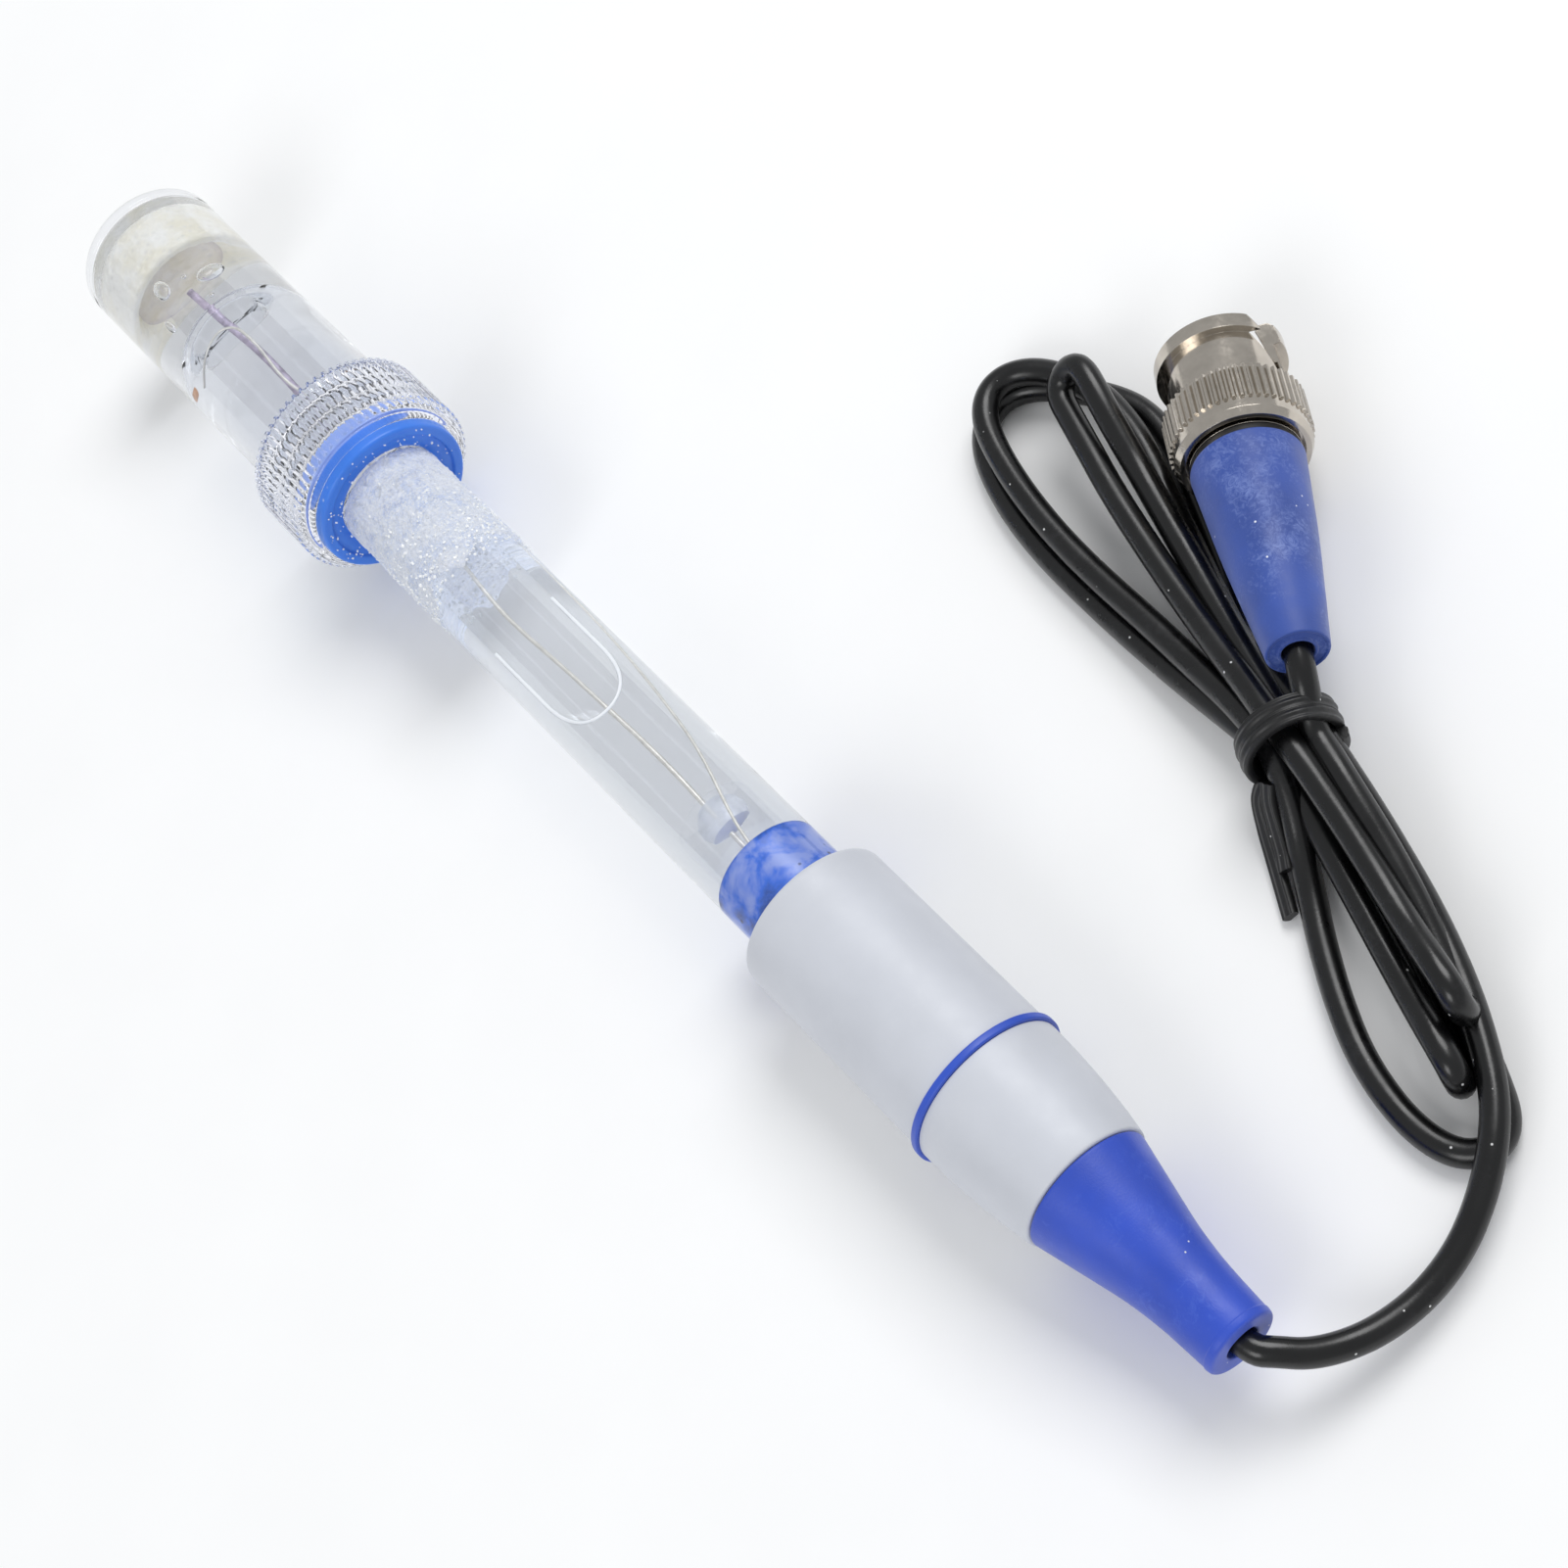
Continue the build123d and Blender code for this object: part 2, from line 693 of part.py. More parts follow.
# Coupling sleeve: flange, slotted barrel, knurled grip and an inner lip at the rear
with BuildPart() as plug_sleeve:
    revolve(
        profile(
            plug_profile_plane,
            (0, sleeve_bore_r + lug_groove_depth),
            (0, sleeve_flange_diameter / 2 - sleeve_edge),
            (sleeve_edge, sleeve_flange_diameter / 2),
            (sleeve_flange_width, sleeve_flange_diameter / 2),
            (sleeve_flange_width, barrel_r),
            (knurl_start - sleeve_edge, barrel_r),
            (knurl_start - sleeve_edge, knurl_root_r - sleeve_edge),
            (knurl_start, knurl_root_r),
            (knurl_end, knurl_root_r),
            (sleeve_length - 2 * sleeve_edge, knurl_root_r),
            (sleeve_length, knurl_root_r - sleeve_edge),
            (sleeve_length, recess_r),
            (lip_end, recess_r),
            (lip_end, neck_r + running_fit),
            (lip_start, neck_r + running_fit),
            (lip_start, sleeve_bore_r),
            (lug_groove_depth, sleeve_bore_r),
        ),
        axis=plug_axis,
    )
    with BuildSketch(plug_plane.offset(knurl_start)):
        with BuildLine():
            Polyline(*ribbed_outline(knurl_count, knurl_diameter / 2, knurl_root_r, 0.14), close=True)
        make_face()
        Circle(knurl_root_r - sleeve_edge, mode=Mode.SUBTRACT)
    extrude(amount=knurl_length)
    for side in (0, 180):
        slot_plane = plug_plane.offset(slot_start).rotated((0, 0, side))
        with BuildLine(slot_plane) as slot_path:
            Helix(pitch=slot_rise * 360 / slot_turn, height=slot_rise, radius=barrel_r)
        slot_mouth = slot_path.line @ 0
        outward = slot_mouth - slot_plane.origin
        with BuildSketch(Plane(slot_mouth, x_dir=outward, z_dir=slot_path.line % 0)):
            Rectangle(3 * (barrel_r - sleeve_bore_r), slot_width)
        sweep(path=slot_path.line, is_frenet=True, mode=Mode.SUBTRACT)
        with BuildSketch(slot_plane.offset(-slot_start)):
            with Locations((sleeve_bore_r, 0)):
                Rectangle(2 * lug_groove_depth, slot_width)
        extrude(amount=slot_start, mode=Mode.SUBTRACT)
        hole_plane = slot_plane.offset(slot_rise).rotated((0, 0, slot_turn))
        with Locations(hole_plane * Location((barrel_r, 0, 0), (0, 90, 0))):
            Cylinder(lug_hole_diameter / 2, 3 * (barrel_r - sleeve_bore_r), mode=Mode.SUBTRACT)
export(plug_sleeve.part, "plug_sleeve")

# Rear body of the plug: contact fingers, neck, flange and the core that carries the boot
ferrule_r = ferrule_diameter / 2
insulator_r = insulator_diameter / 2
core_r = boot_core_diameter / 2
core_end = boot_start + boot_core_length
washer_end = lip_start - sleeve_push_travel - 2 * face_gap
washer_start = washer_end - washer_thickness
clip_end = washer_start - face_gap
clip_start = clip_end - clip_thickness
groove_r = neck_r - clip_groove_depth
with BuildPart() as plug_body:
    revolve(
        profile(
            plug_profile_plane,
            (ferrule_start, ferrule_r - ferrule_wall),
            (ferrule_start, ferrule_r),
            (neck_start, ferrule_r),
            (neck_start, neck_r),
            (clip_start - face_gap, neck_r),
            (clip_start - face_gap, groove_r),
            (clip_end + face_gap, groove_r),
            (clip_end + face_gap, neck_r),
            (flange_start, neck_r),
            (flange_start, body_flange_diameter / 2),
            (flange_end, body_flange_diameter / 2),
            (flange_end, core_r),
            (core_end, core_r),
            (core_end, insulator_r + glued_fit),
            (neck_start, insulator_r + glued_fit),
            (neck_start, ferrule_r - ferrule_wall),
        ),
        axis=plug_axis,
    )
    with BuildSketch(plug_plane.offset(ferrule_start)):
        with PolarLocations(ferrule_r, finger_slots):
            Rectangle(ferrule_r, finger_slot_width)
    extrude(amount=ferrule_reach - seal_thickness - 2 * face_gap, mode=Mode.SUBTRACT)
export(plug_body.part, "plug_body")

# Ring gasket at the root of the fingers
with BuildPart() as plug_seal:
    revolve(
        bar(
            plug_profile_plane,
            neck_start - seal_thickness,
            neck_start - face_gap,
            ferrule_r + glued_fit,
            seal_diameter / 2,
        ),
        axis=plug_axis,
    )
export(plug_seal.part, "plug_seal")

# Retaining clip in its groove, and the spring washer that turns with the sleeve
with BuildPart() as plug_clip:
    revolve(
        bar(plug_profile_plane, clip_start, clip_end, groove_r + glued_fit, clip_diameter / 2),
        axis=plug_axis,
    )
export(plug_clip.part, "plug_clip")

with BuildPart() as spring_washer:
    revolve(
        bar(plug_profile_plane, washer_start, washer_end, neck_r + running_fit, clip_diameter / 2),
        axis=plug_axis,
    )
export(spring_washer.part, "spring_washer")

# White insulator and centre contact
pin_r = contact_pin_diameter / 2
insulator_start = ferrule_start + insulator_recess
with BuildPart() as plug_insulator:
    revolve(
        bar(plug_profile_plane, insulator_start, core_end, pin_r + glued_fit, insulator_r),
        axis=plug_axis,
    )
export(plug_insulator.part, "plug_insulator")

pin_tip = ferrule_start + contact_pin_recess
with BuildPart() as contact_pin:
    revolve(
        profile(
            plug_profile_plane,
            (pin_tip, 0),
            (pin_tip, pin_r / 2),
            (pin_tip + contact_pin_taper, pin_r),
            (core_end, pin_r),
            (core_end, 0),
        ),
        axis=plug_axis,
    )
export(contact_pin.part, "contact_pin")

# Black ring behind the flange, then the blue boot
with BuildPart() as rear_ring:
    revolve(
        bar(
            plug_profile_plane,
            flange_end + face_gap,
            boot_start - face_gap,
            core_r + glued_fit,
            rear_ring_diameter / 2,
        ),
        axis=plug_axis,
    )
export(rear_ring.part, "rear_ring")

with BuildPart() as plug_boot:
    revolve(
        profile(
            plug_profile_plane,
            (boot_start, core_r + glued_fit),
            (boot_start, boot_start_diameter / 2),
            (boot_waist, boot_waist_diameter / 2),
            (boot_end, boot_end_diameter / 2),
            (boot_end, cable_bore_r),
            (boot_end - boot_bore_depth, cable_bore_r),
            (boot_end - boot_bore_depth, 0),
            (core_end + face_gap, 0),
            (core_end + face_gap, core_r + glued_fit),
        ),
        axis=plug_axis,
    )
export(plug_boot.part, "plug_boot")

# Free stretches of cable at both ends
lead_exit = total_length + cable_exit_run
lead_route = [axis_start + axis_plane.x_dir * lead_start, axis_start + axis_plane.x_dir * lead_exit]
lead_route += [Vector(*point) for point in lead_points]
tail_start = boot_end - boot_bore_depth + face_gap
tail_exit = boot_end + cable_exit_run
tail_route = [plug_start + plug_direction * tail_start, plug_start + plug_direction * tail_exit]
tail_route += [Vector(*point) for point in tail_points]


def cable_tube(route, name):
    """Tube along straight runs joined by tangent arcs."""
    radii = bend_radii(route)
    with BuildPart() as tube:
        with BuildLine() as path:
            FilletPolyline(*route, radius=radii)
        with BuildSketch(Plane(path.line @ 0, z_dir=path.line % 0)):
            Circle(cable_r)
        sweep(path=path.line)
    length = path.wire().length
    share = tube.part.volume / (pi * cable_r**2 * length)
    print(name, "bend radii", [round(value, 1) for value in radii])
    print(name, "length", round(length, 1), "volume share", round(share, 4))
    export(tube.part, name)


cable_tube(lead_route, "cable_lead")
cable_tube(tail_route, "cable_tail")


hank_sections = upper_sections + [waist_section] + lower_sections


def hank_plane(index):
    """Plane across the hank at one of its sections, with its first axis level."""
    before = Vector(*hank_sections[max(index - 1, 0)][0])
    after = Vector(*hank_sections[min(index + 1, len(hank_sections) - 1)][0])
    along = after - before
    return Plane(Vector(*hank_sections[index][0]), x_dir=along.cross(Vector(0, 0, 1)), z_dir=along)


# Hank: the outer shape of the cable's turns on both sides of the tie
with BuildPart() as cable_hank:
    for index, (centre, width, height) in enumerate(hank_sections):
        with BuildSketch(hank_plane(index)):
            Ellipse(width / 2, height / 2)
    loft()
export(cable_hank.part, "cable_hank")

# Wire tie: two turns of flat wire round the waist, and its tail
tie_plane = hank_plane(len(upper_sections))
waist_width, waist_height = waist_section[1:]
tie_half_width = waist_width / 2 + tie_thickness
tie_half_height = waist_height / 2 + tie_thickness
with BuildPart() as cable_tie:
    with BuildSketch(tie_plane.offset(-tie_width / 2)):
        Ellipse(tie_half_width, tie_half_height)
        Ellipse(tie_half_width - tie_thickness, tie_half_height - tie_thickness, mode=Mode.SUBTRACT)
    extrude(amount=tie_width)
    with BuildSketch(tie_plane.offset(-tie_groove_width / 2)):
        Ellipse(tie_half_width + tie_thickness, tie_half_height + tie_thickness)
        Ellipse(tie_half_width - tie_groove_depth, tie_half_height - tie_groove_depth, mode=Mode.SUBTRACT)
    extrude(amount=tie_groove_width, mode=Mode.SUBTRACT)
    with BuildLine() as tail_path:
        FilletPolyline(*tie_tail_points, radius=tie_tail_bend)
    with BuildSketch(Plane(tail_path.line @ 0, x_dir=tie_plane.z_dir, z_dir=tail_path.line % 0)):
        Rectangle(tie_tail_width, tie_thickness)
    sweep(path=tail_path.line)
export(cable_tie.part, "cable_tie")

print("total length", round(total_length, 2), "tilt", round(degrees(tilt), 3))
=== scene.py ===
import json
from itertools import product
from math import cos, pi, radians, sin

import bmesh
import bpy
import numpy as np
from bpy.props import FloatProperty, FloatVectorProperty, IntProperty, PointerProperty
from mathutils import Matrix, Vector


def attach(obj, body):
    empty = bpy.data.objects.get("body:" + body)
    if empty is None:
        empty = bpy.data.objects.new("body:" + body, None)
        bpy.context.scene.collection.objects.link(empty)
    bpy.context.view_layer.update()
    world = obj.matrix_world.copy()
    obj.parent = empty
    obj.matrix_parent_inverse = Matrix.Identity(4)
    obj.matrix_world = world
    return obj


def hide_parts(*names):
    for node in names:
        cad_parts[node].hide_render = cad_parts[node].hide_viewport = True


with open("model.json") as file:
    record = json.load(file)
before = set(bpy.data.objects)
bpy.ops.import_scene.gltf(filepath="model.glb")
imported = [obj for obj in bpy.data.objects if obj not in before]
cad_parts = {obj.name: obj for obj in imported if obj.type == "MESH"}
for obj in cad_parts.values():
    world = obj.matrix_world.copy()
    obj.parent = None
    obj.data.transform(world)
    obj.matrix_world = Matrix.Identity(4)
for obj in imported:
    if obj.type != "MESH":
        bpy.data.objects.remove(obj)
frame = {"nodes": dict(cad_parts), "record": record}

bl_info = {
    "name": "Laboratory electrode",
    "version": (1, 0, 0),
    "blender": (4, 5, 0),
    "location": "3D View > Sidebar > Electrode",
    "description": "Builds the looks of a glass electrode in its storage bottle, with its cable and plug",
    "category": "Object",
}

MM = 0.001

# Radii that pieces share or that fit one another, in millimetres
BOTTLE_RADIUS = 8.65
CAP_RADIUS = 10.85
CAP_INNER_RADIUS = 9.4
CAP_HOLE_RADIUS = 9.13
GASKET_FLANGE_RADIUS = 9.35
GASKET_COLLAR_RADIUS = 9.05
GLASS_RADIUS = 6.0
STEM_RADIUS = 2.6
WELD_RADIUS = 2.66
SEAL_RADIUS = 2.63
HANDLE_RADIUS = 8.35
HANDLE_END_RADIUS = 7.1
BOOT_BORE_RADIUS = 3.03

# Tints of clear walls against a liquid: as they are seen, and for light from the lamps
WET_TINT = (0.97, 0.98, 0.99)
WET_LAMP_TINT = (0.98, 0.98, 0.99)
GLASS_LAMP_TINT = (0.93, 0.94, 0.96)

# Rounded length of the two ends of the air bubble in the glass, in millimetres
BUBBLE_ROUNDING = 7.0
BUBBLE_BACK = 2.0

# The middle of the tied waist of the hank, in millimetres, and the directions along it and across it
TIE_CENTRE = np.array((54.6, 42.8, 7.4))
TIE_ALONG = np.array((0.92, -0.39, 0.0))
TIE_LEVEL = np.array((0.39, 0.92, 0.0))

# The photograph's camera: lens and sensor in millimetres, directions before the roll, and place
CAMERA_LENS = 71.96
CAMERA_SENSOR = 36
CAMERA_RIGHT = Vector((0.596513, 0.718239, -0.358198))
CAMERA_UP = Vector((-0.602792, 0.695583, 0.390905))
CAMERA_ROLL = radians(1.128)
CAMERA_PLACE = (0.182638883, 0.001748467, 0.27007422)


def paint(red, green, blue):
    """Linear colour of one that is given as 0 to 255: ((c / 255 + 0.055) / 1.055)^2.4."""
    return tuple(((value / 255 + 0.055) / 1.055) ** 2.4 for value in (red, green, blue))


def colour_property(name, description, default):
    return FloatVectorProperty(
        name=name, description=description, subtype="COLOR", size=3, min=0, max=1, default=default
    )


def length_property(name, description, default):
    return FloatProperty(name=name, description=description, unit="LENGTH", subtype="DISTANCE", default=default)


class BottleSettings(bpy.types.PropertyGroup):
    wall: length_property("Wall", "Thickness of the bottle's wall", 0.9 * MM)
    thread_height: length_property("Thread height", "How far the screw thread stands out", 0.35 * MM)
    thread_pitch: length_property("Thread pitch", "Travel of the cap in one turn", 2.4 * MM)
    rib_count: IntProperty(name="Ribs", description="Number of grip ribs round the cap", default=66)
    rib_height: length_property("Rib height", "How far the cap's ribs stand out", 0.35 * MM)
    plastic: colour_property("Clear plastic", "Tint of the bottle", paint(245, 246, 248))
    gasket: colour_property("Gasket", "Colour of the soft gasket", paint(62, 130, 235))
    sponge: colour_property("Sponge", "Colour of the wet sponge", paint(230, 229, 224))


class GlassSettings(bpy.types.PropertyGroup):
    wall: length_property("Wall", "Thickness of the glass body's wall", 1.0 * MM)
    bubble_end: length_property("Bubble end", "Rounded end of the air bubble, from the bottle's bottom", 94.5 * MM)
    bubble_floor: length_property("Bubble floor", "Height of the liquid's surface over the axis", 3.25 * MM)
    body: colour_property("Glass", "Tint of the glass body", paint(225, 227, 229))
    stem: colour_property("Stem", "Tint of the stem", paint(229, 228, 232))
    silver: colour_property("Silver", "Colour of the bare silver wire", paint(236, 233, 226))
    coat: colour_property("Silver chloride", "Colour of the coated wire", paint(186, 176, 194))
    stopper: colour_property("Stopper", "Colour of the blue stopper", paint(52, 112, 228))
    seal: colour_property("Seal", "Colour of the seal on the stem", paint(238, 242, 250))


class HandleSettings(bpy.types.PropertyGroup):
    edge: length_property("Edge", "Rounding of the handle's front edge", 0.7 * MM)
    grey: colour_property("Grey shell", "Colour of the two handle shells", paint(206, 209, 217))
    ring: colour_property("Trim ring", "Colour of the ring between the shells", paint(48, 84, 196))
    rubber: colour_property("Strain relief", "Colour of the rubber strain relief", paint(42, 78, 196))


class CableSettings(bpy.types.PropertyGroup):
    diameter: length_property("Diameter", "Diameter of the cable", 2.8 * MM)
    length: length_property("Length", "Length of the whole cable", 0.66)
    sheath: colour_property("Sheath", "Colour of the cable's sheath", paint(10, 10, 11))
    tie: colour_property("Tie", "Colour of the wire tie", paint(18, 18, 19))


class PlugSettings(bpy.types.PropertyGroup):
    nickel: colour_property("Nickel", "Colour of the plated metal", paint(205, 197, 186))
    boot: colour_property("Boot", "Colour of the rubber boot", paint(50, 80, 164))
    insulator: colour_property("Insulator", "Colour of the insulator", paint(232, 230, 222))
    contact: colour_property("Contact", "Colour of the plated centre contact", paint(214, 176, 96))


class SaltSettings(bpy.types.PropertyGroup):
    reach: length_property("Crust", "Length of glass that the salt crust covers", 17.5 * MM)
    thickness: length_property("Thickness", "Greatest thickness of the crust", 0.4 * MM)
    crystals: IntProperty(name="Crystals", description="Number of loose crystals", default=900)
    colour: colour_property("Salt", "Colour of the dried salt", paint(240, 243, 250))


class StageSettings(bpy.types.PropertyGroup):
    floor: colour_property("Floor", "Colour of the pale floor", (0.96, 0.96, 0.96))
    sky: FloatProperty(name="Room light", description="Strength of the light from all sides", default=0.55)
    key: FloatProperty(name="Main lamp", description="Power of the large lamp", unit="POWER", default=4.4)
    fill: FloatProperty(name="Second lamp", description="Power of the lamp opposite", unit="POWER", default=1.6)


def node_points(node):
    """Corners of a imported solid, as an array."""
    mesh = frame["nodes"][node].data
    points = np.empty(len(mesh.vertices) * 3)
    mesh.vertices.foreach_get("co", points)
    return points.reshape(-1, 3)


class Line:
    """A straight axis: a start, its direction, and two directions across it, up and to the side."""

    def __init__(self, start, along):
        self.start = np.array(start)
        self.along = np.array(along) / np.linalg.norm(along)
        side = np.cross((0, 0, 1), self.along)
        self.side = side / np.linalg.norm(side)
        self.up = np.cross(self.along, self.side)

    def stations(self, points):
        """Millimetres along the axis: (p - start) . along."""
        return (points - self.start) @ self.along / MM

    def at(self, station, radius=0.0, angle=0.0):
        """start + station along + radius (cos angle up + sin angle side), in millimetres and radians."""
        station, radius, angle = np.broadcast_arrays(station, radius, angle)
        across = np.cos(angle)[..., None] * self.up + np.sin(angle)[..., None] * self.side
        return self.start + MM * (station[..., None] * self.along + radius[..., None] * across)

    def beside(self, station, up, side):
        """start + station along + u up + s side, in millimetres."""
        steps = np.stack(np.broadcast_arrays(station, up, side), -1)
        return self.start + MM * (steps @ np.array((self.along, self.up, self.side)))

    def span(self, node):
        """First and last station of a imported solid."""
        stations = self.stations(node_points(node))
        return stations.min(), stations.max()


def line_of(mount_name, first_node):
    """Axis of a mount, turned round, with station 0 where the named solid starts."""
    mount = next(item for item in frame["record"]["mounts"] if item["name"] == mount_name)
    line = Line(mount["pos_m"], -np.array(mount["axis"]))
    line.start = line.start + MM * line.span(first_node)[0] * line.along
    return line


electrode_line = line_of("glass_shank", "bottle")
plug_line = line_of("bayonet_plug", "plug_sleeve")


def value_noise(points, cell, seed):
    """Random numbers on a cubic lattice of one cell size, blended between corners by 3t^2 - 2t^3; -1 to 1."""
    table = np.random.default_rng(seed).uniform(-1, 1, 4096)
    scaled = np.asarray(points) / cell
    base = np.floor(scaled).astype(np.int64)
    share = scaled - base
    share = share * share * (3 - 2 * share)
    total = np.zeros(scaled.shape[:-1])
    for corner in product((0, 1), repeat=3):
        place = (base + corner) @ np.array((73856093, 19349663, 83492791))
        weight = np.where(np.array(corner), share, 1 - share).prod(-1)
        total += table[place % 4096] * weight
    return total


def smooth_step(value):
    """3t^2 - 2t^3 with t held between 0 and 1."""
    t = np.clip(value, 0, 1)
    return t * t * (3 - 2 * t)


def full_turn(count):
    """Evenly spaced angles round a circle."""
    return np.arange(count) * 2 * pi / count


def unit(vectors):
    return vectors / np.linalg.norm(vectors, axis=-1, keepdims=True)


def grid_faces(rows, columns, close_rows, close_columns):
    """Corner numbers of a grid's four-sided faces; the last row or column joins the first where it closes."""
    row = np.arange(rows if close_rows else rows - 1)[:, None]
    column = np.arange(columns if close_columns else columns - 1)[None, :]
    next_row = (row + 1) % rows
    next_column = (column + 1) % columns
    faces = (row * columns + column, next_row * columns + column,
             next_row * columns + next_column, row * columns + next_column)
    return np.stack(faces, -1).reshape(-1, 4)


def linked(name, data):
    """Object in the scene for a mesh, curve, lamp or camera."""
    thing = bpy.data.objects.new(name, data)
    bpy.context.scene.collection.objects.link(thing)
    return thing


def make_piece(name, points, materials, faces=None, body="electrode", replaced=(), slot=None, face_material=None,
               closed=(False, True), sharp=38, poles=False, inner=False):
    """Piece of a grid of corners, or of corners with faces of their own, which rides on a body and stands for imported
    solids. Its materials are numbered by row or by face. An inner piece, a clear surface inside other clear pieces,
    stops no light on its way to them."""
    if faces is None:
        faces = grid_faces(*points.shape[:2], *closed)
    mesh = bpy.data.meshes.new(name)
    mesh.from_pydata(points.reshape(-1, 3).tolist(), [], faces.tolist())
    for material in materials:
        mesh.materials.append(material)
    if face_material is not None:
        numbers = np.asarray(face_material, dtype=np.int32).reshape(len(face_material), -1)
        numbers = np.broadcast_to(numbers, (len(numbers), len(faces) // len(numbers)))
        mesh.polygons.foreach_set("material_index", numbers.ravel())
    if poles:
        shape = bmesh.new()
        shape.from_mesh(mesh)
        bmesh.ops.remove_doubles(shape, verts=shape.verts, dist=0.0005 * MM)
        shape.to_mesh(mesh)
        shape.free()
    mesh.shade_smooth()
    mesh.set_sharp_from_angle(angle=radians(sharp))
    mesh.update()
    piece = linked(name, mesh)
    piece.visible_shadow = not inner
    piece.visible_diffuse = not inner
    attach(piece, body)
    if replaced:
        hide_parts(*replaced)
    return piece


def rounded(corners, closed=False, steps=5, guard=0.12):
    """Outline of (station, radius, rounding) corners; each turns by (1-t)^2 p + 2t(1-t) c + t^2 q between the
    points p and q beside it, and a long straight gets a point near each end so that its shading stays flat."""
    corners = np.array(corners, dtype=float)
    points = corners[:, :2]
    before = np.roll(points, 1, 0) - points
    after = np.roll(points, -1, 0) - points
    before_length = np.linalg.norm(before, axis=1)
    after_length = np.linalg.norm(after, axis=1)
    before_share = np.minimum(corners[:, 2], 0.45 * before_length) / before_length
    after_share = np.minimum(corners[:, 2], 0.45 * after_length) / after_length
    t = np.linspace(0, 1, steps + 1)[None, :, None]
    first = (points + before * before_share[:, None])[:, None]
    last = (points + after * after_share[:, None])[:, None]
    curve = ((1 - t) ** 2 * first + 2 * t * (1 - t) * points[:, None] + t**2 * last).reshape(-1, 2)
    keep = np.linalg.norm(curve - np.roll(curve, 1, 0), axis=1) > 1e-6
    keep[0] = True
    curve = curve[keep]
    run = (np.roll(curve, -1, 0) if closed else curve[1:]) - (curve if closed else curve[:-1])
    length = np.linalg.norm(run, axis=1)
    outline = []
    for place, (point, step) in enumerate(zip(curve, length)):
        outline.append(point)
        if step > 4 * guard:
            outline += [point + run[place] * guard / step, point + run[place] * (1 - guard / step)]
    if not closed:
        outline.append(curve[-1])
    return np.array(outline)


def level(stations, radius):
    """Outline that stays at one radius."""
    return np.stack([stations, np.full(len(stations), radius)], -1)


def turned_points(stations, radii, around, line=electrode_line):
    """Surface of revolution: point (i, j) = start + s_ij along + r_ij (cos a_j up + sin a_j side)."""
    return line.at(stations.reshape(len(stations), -1), radii.reshape(len(radii), -1), full_turn(around))


def turned_piece(name, outline, materials, around=128, closed=True, line=electrode_line, **options):
    """Piece turned about a line from an outline of (station, radius)."""
    options.setdefault("poles", not closed)
    points = turned_points(outline[:, 0], outline[:, 1], around, line)
    return make_piece(name, points, materials, closed=(closed, True), **options)


def smooth_path(points, steps):
    """Catmull-Rom curve through points: half of (2b + (c-a)t + (2a-5b+4c-d)t^2 + (3b-a-3c+d)t^3)."""
    points = np.array(points, dtype=float)
    padded = np.vstack([2 * points[0] - points[1], points, 2 * points[-1] - points[-2]])
    a, b, c, d = (padded[k:len(padded) - 3 + k, None] for k in range(4))
    t = np.linspace(0, 1, steps, endpoint=False)[None, :, None]
    curve = 0.5 * (2 * b + (c - a) * t + (2 * a - 5 * b + 4 * c - d) * t**2 + (3 * b - a - 3 * c + d) * t**3)
    return np.vstack([curve.reshape(-1, points.shape[1]), points[-1:]])


def rod_piece(name, path, radius, material, around, **options):
    """Round rod along a path: p_i + r_i (cos a_j n_i + sin a_j b_i), where n is across the path and level with a fixed
    direction, and b is at right angles to both. Its radius falls to nothing over the first and last point."""
    path = np.vstack([path[:1], path, path[-1:]])
    path[0] -= (path[2] - path[1]) * 1e-4
    path[-1] += (path[-2] - path[-3]) * 1e-4
    radius = np.concatenate([[0], np.broadcast_to(radius, len(path) - 2), [0]])[:, None, None]
    tangent = unit(np.gradient(path, axis=0))
    normal = unit(np.cross(tangent, (0.13, 0.21, 0.97)))
    other = np.cross(tangent, normal)
    angles = full_turn(around)[None, :, None]
    ring = np.cos(angles) * normal[:, None] + np.sin(angles) * other[:, None]
    return make_piece(name, path[:, None] + radius * ring, [material], poles=True, **options)


def band_piece(name, path, outward, outline, material, **options):
    """Strip carried along a path: p_i + x_k b_i + y_k o_i, where o points outward, b is across, and (x, y) is the
    strip's outline. Its ends are closed."""
    tangent = unit(np.gradient(path, axis=0))
    across = unit(np.cross(tangent, outward))
    outward = np.cross(across, tangent)
    x, y = outline.T * MM
    points = path[:, None] + x[None, :, None] * across[:, None] + y[None, :, None] * outward[:, None]
    ends = np.repeat(points[[0, -1]].mean(1, keepdims=True), points.shape[1], 1)
    return make_piece(name, np.concatenate([ends[:1], points, ends[1:]]), [material], poles=True, **options)


class Nodes:
    """A node tree, with short calls for the nodes that are used here."""

    def __init__(self, tree):
        self.tree = tree
        tree.nodes.clear()

    def add(self, kind, inputs=None, **traits):
        """A node with some inputs set to numbers or colours, or joined to sockets."""
        node = self.tree.nodes.new(kind)
        for key, value in traits.items():
            setattr(node, key, value)
        for key, value in (inputs or {}).items():
            socket = node.inputs[key]
            if isinstance(value, bpy.types.NodeSocket):
                self.tree.links.new(value, socket)
            else:
                socket.default_value = (*value, 1) if socket.type == "RGBA" else value
        return node

    def math(self, operation, first, second):
        return self.add("ShaderNodeMath", {0: first, 1: second}, operation=operation).outputs[0]

    def mixed_shader(self, share, first, second):
        return self.add("ShaderNodeMixShader", {0: share, 1: first, 2: second}).outputs[0]


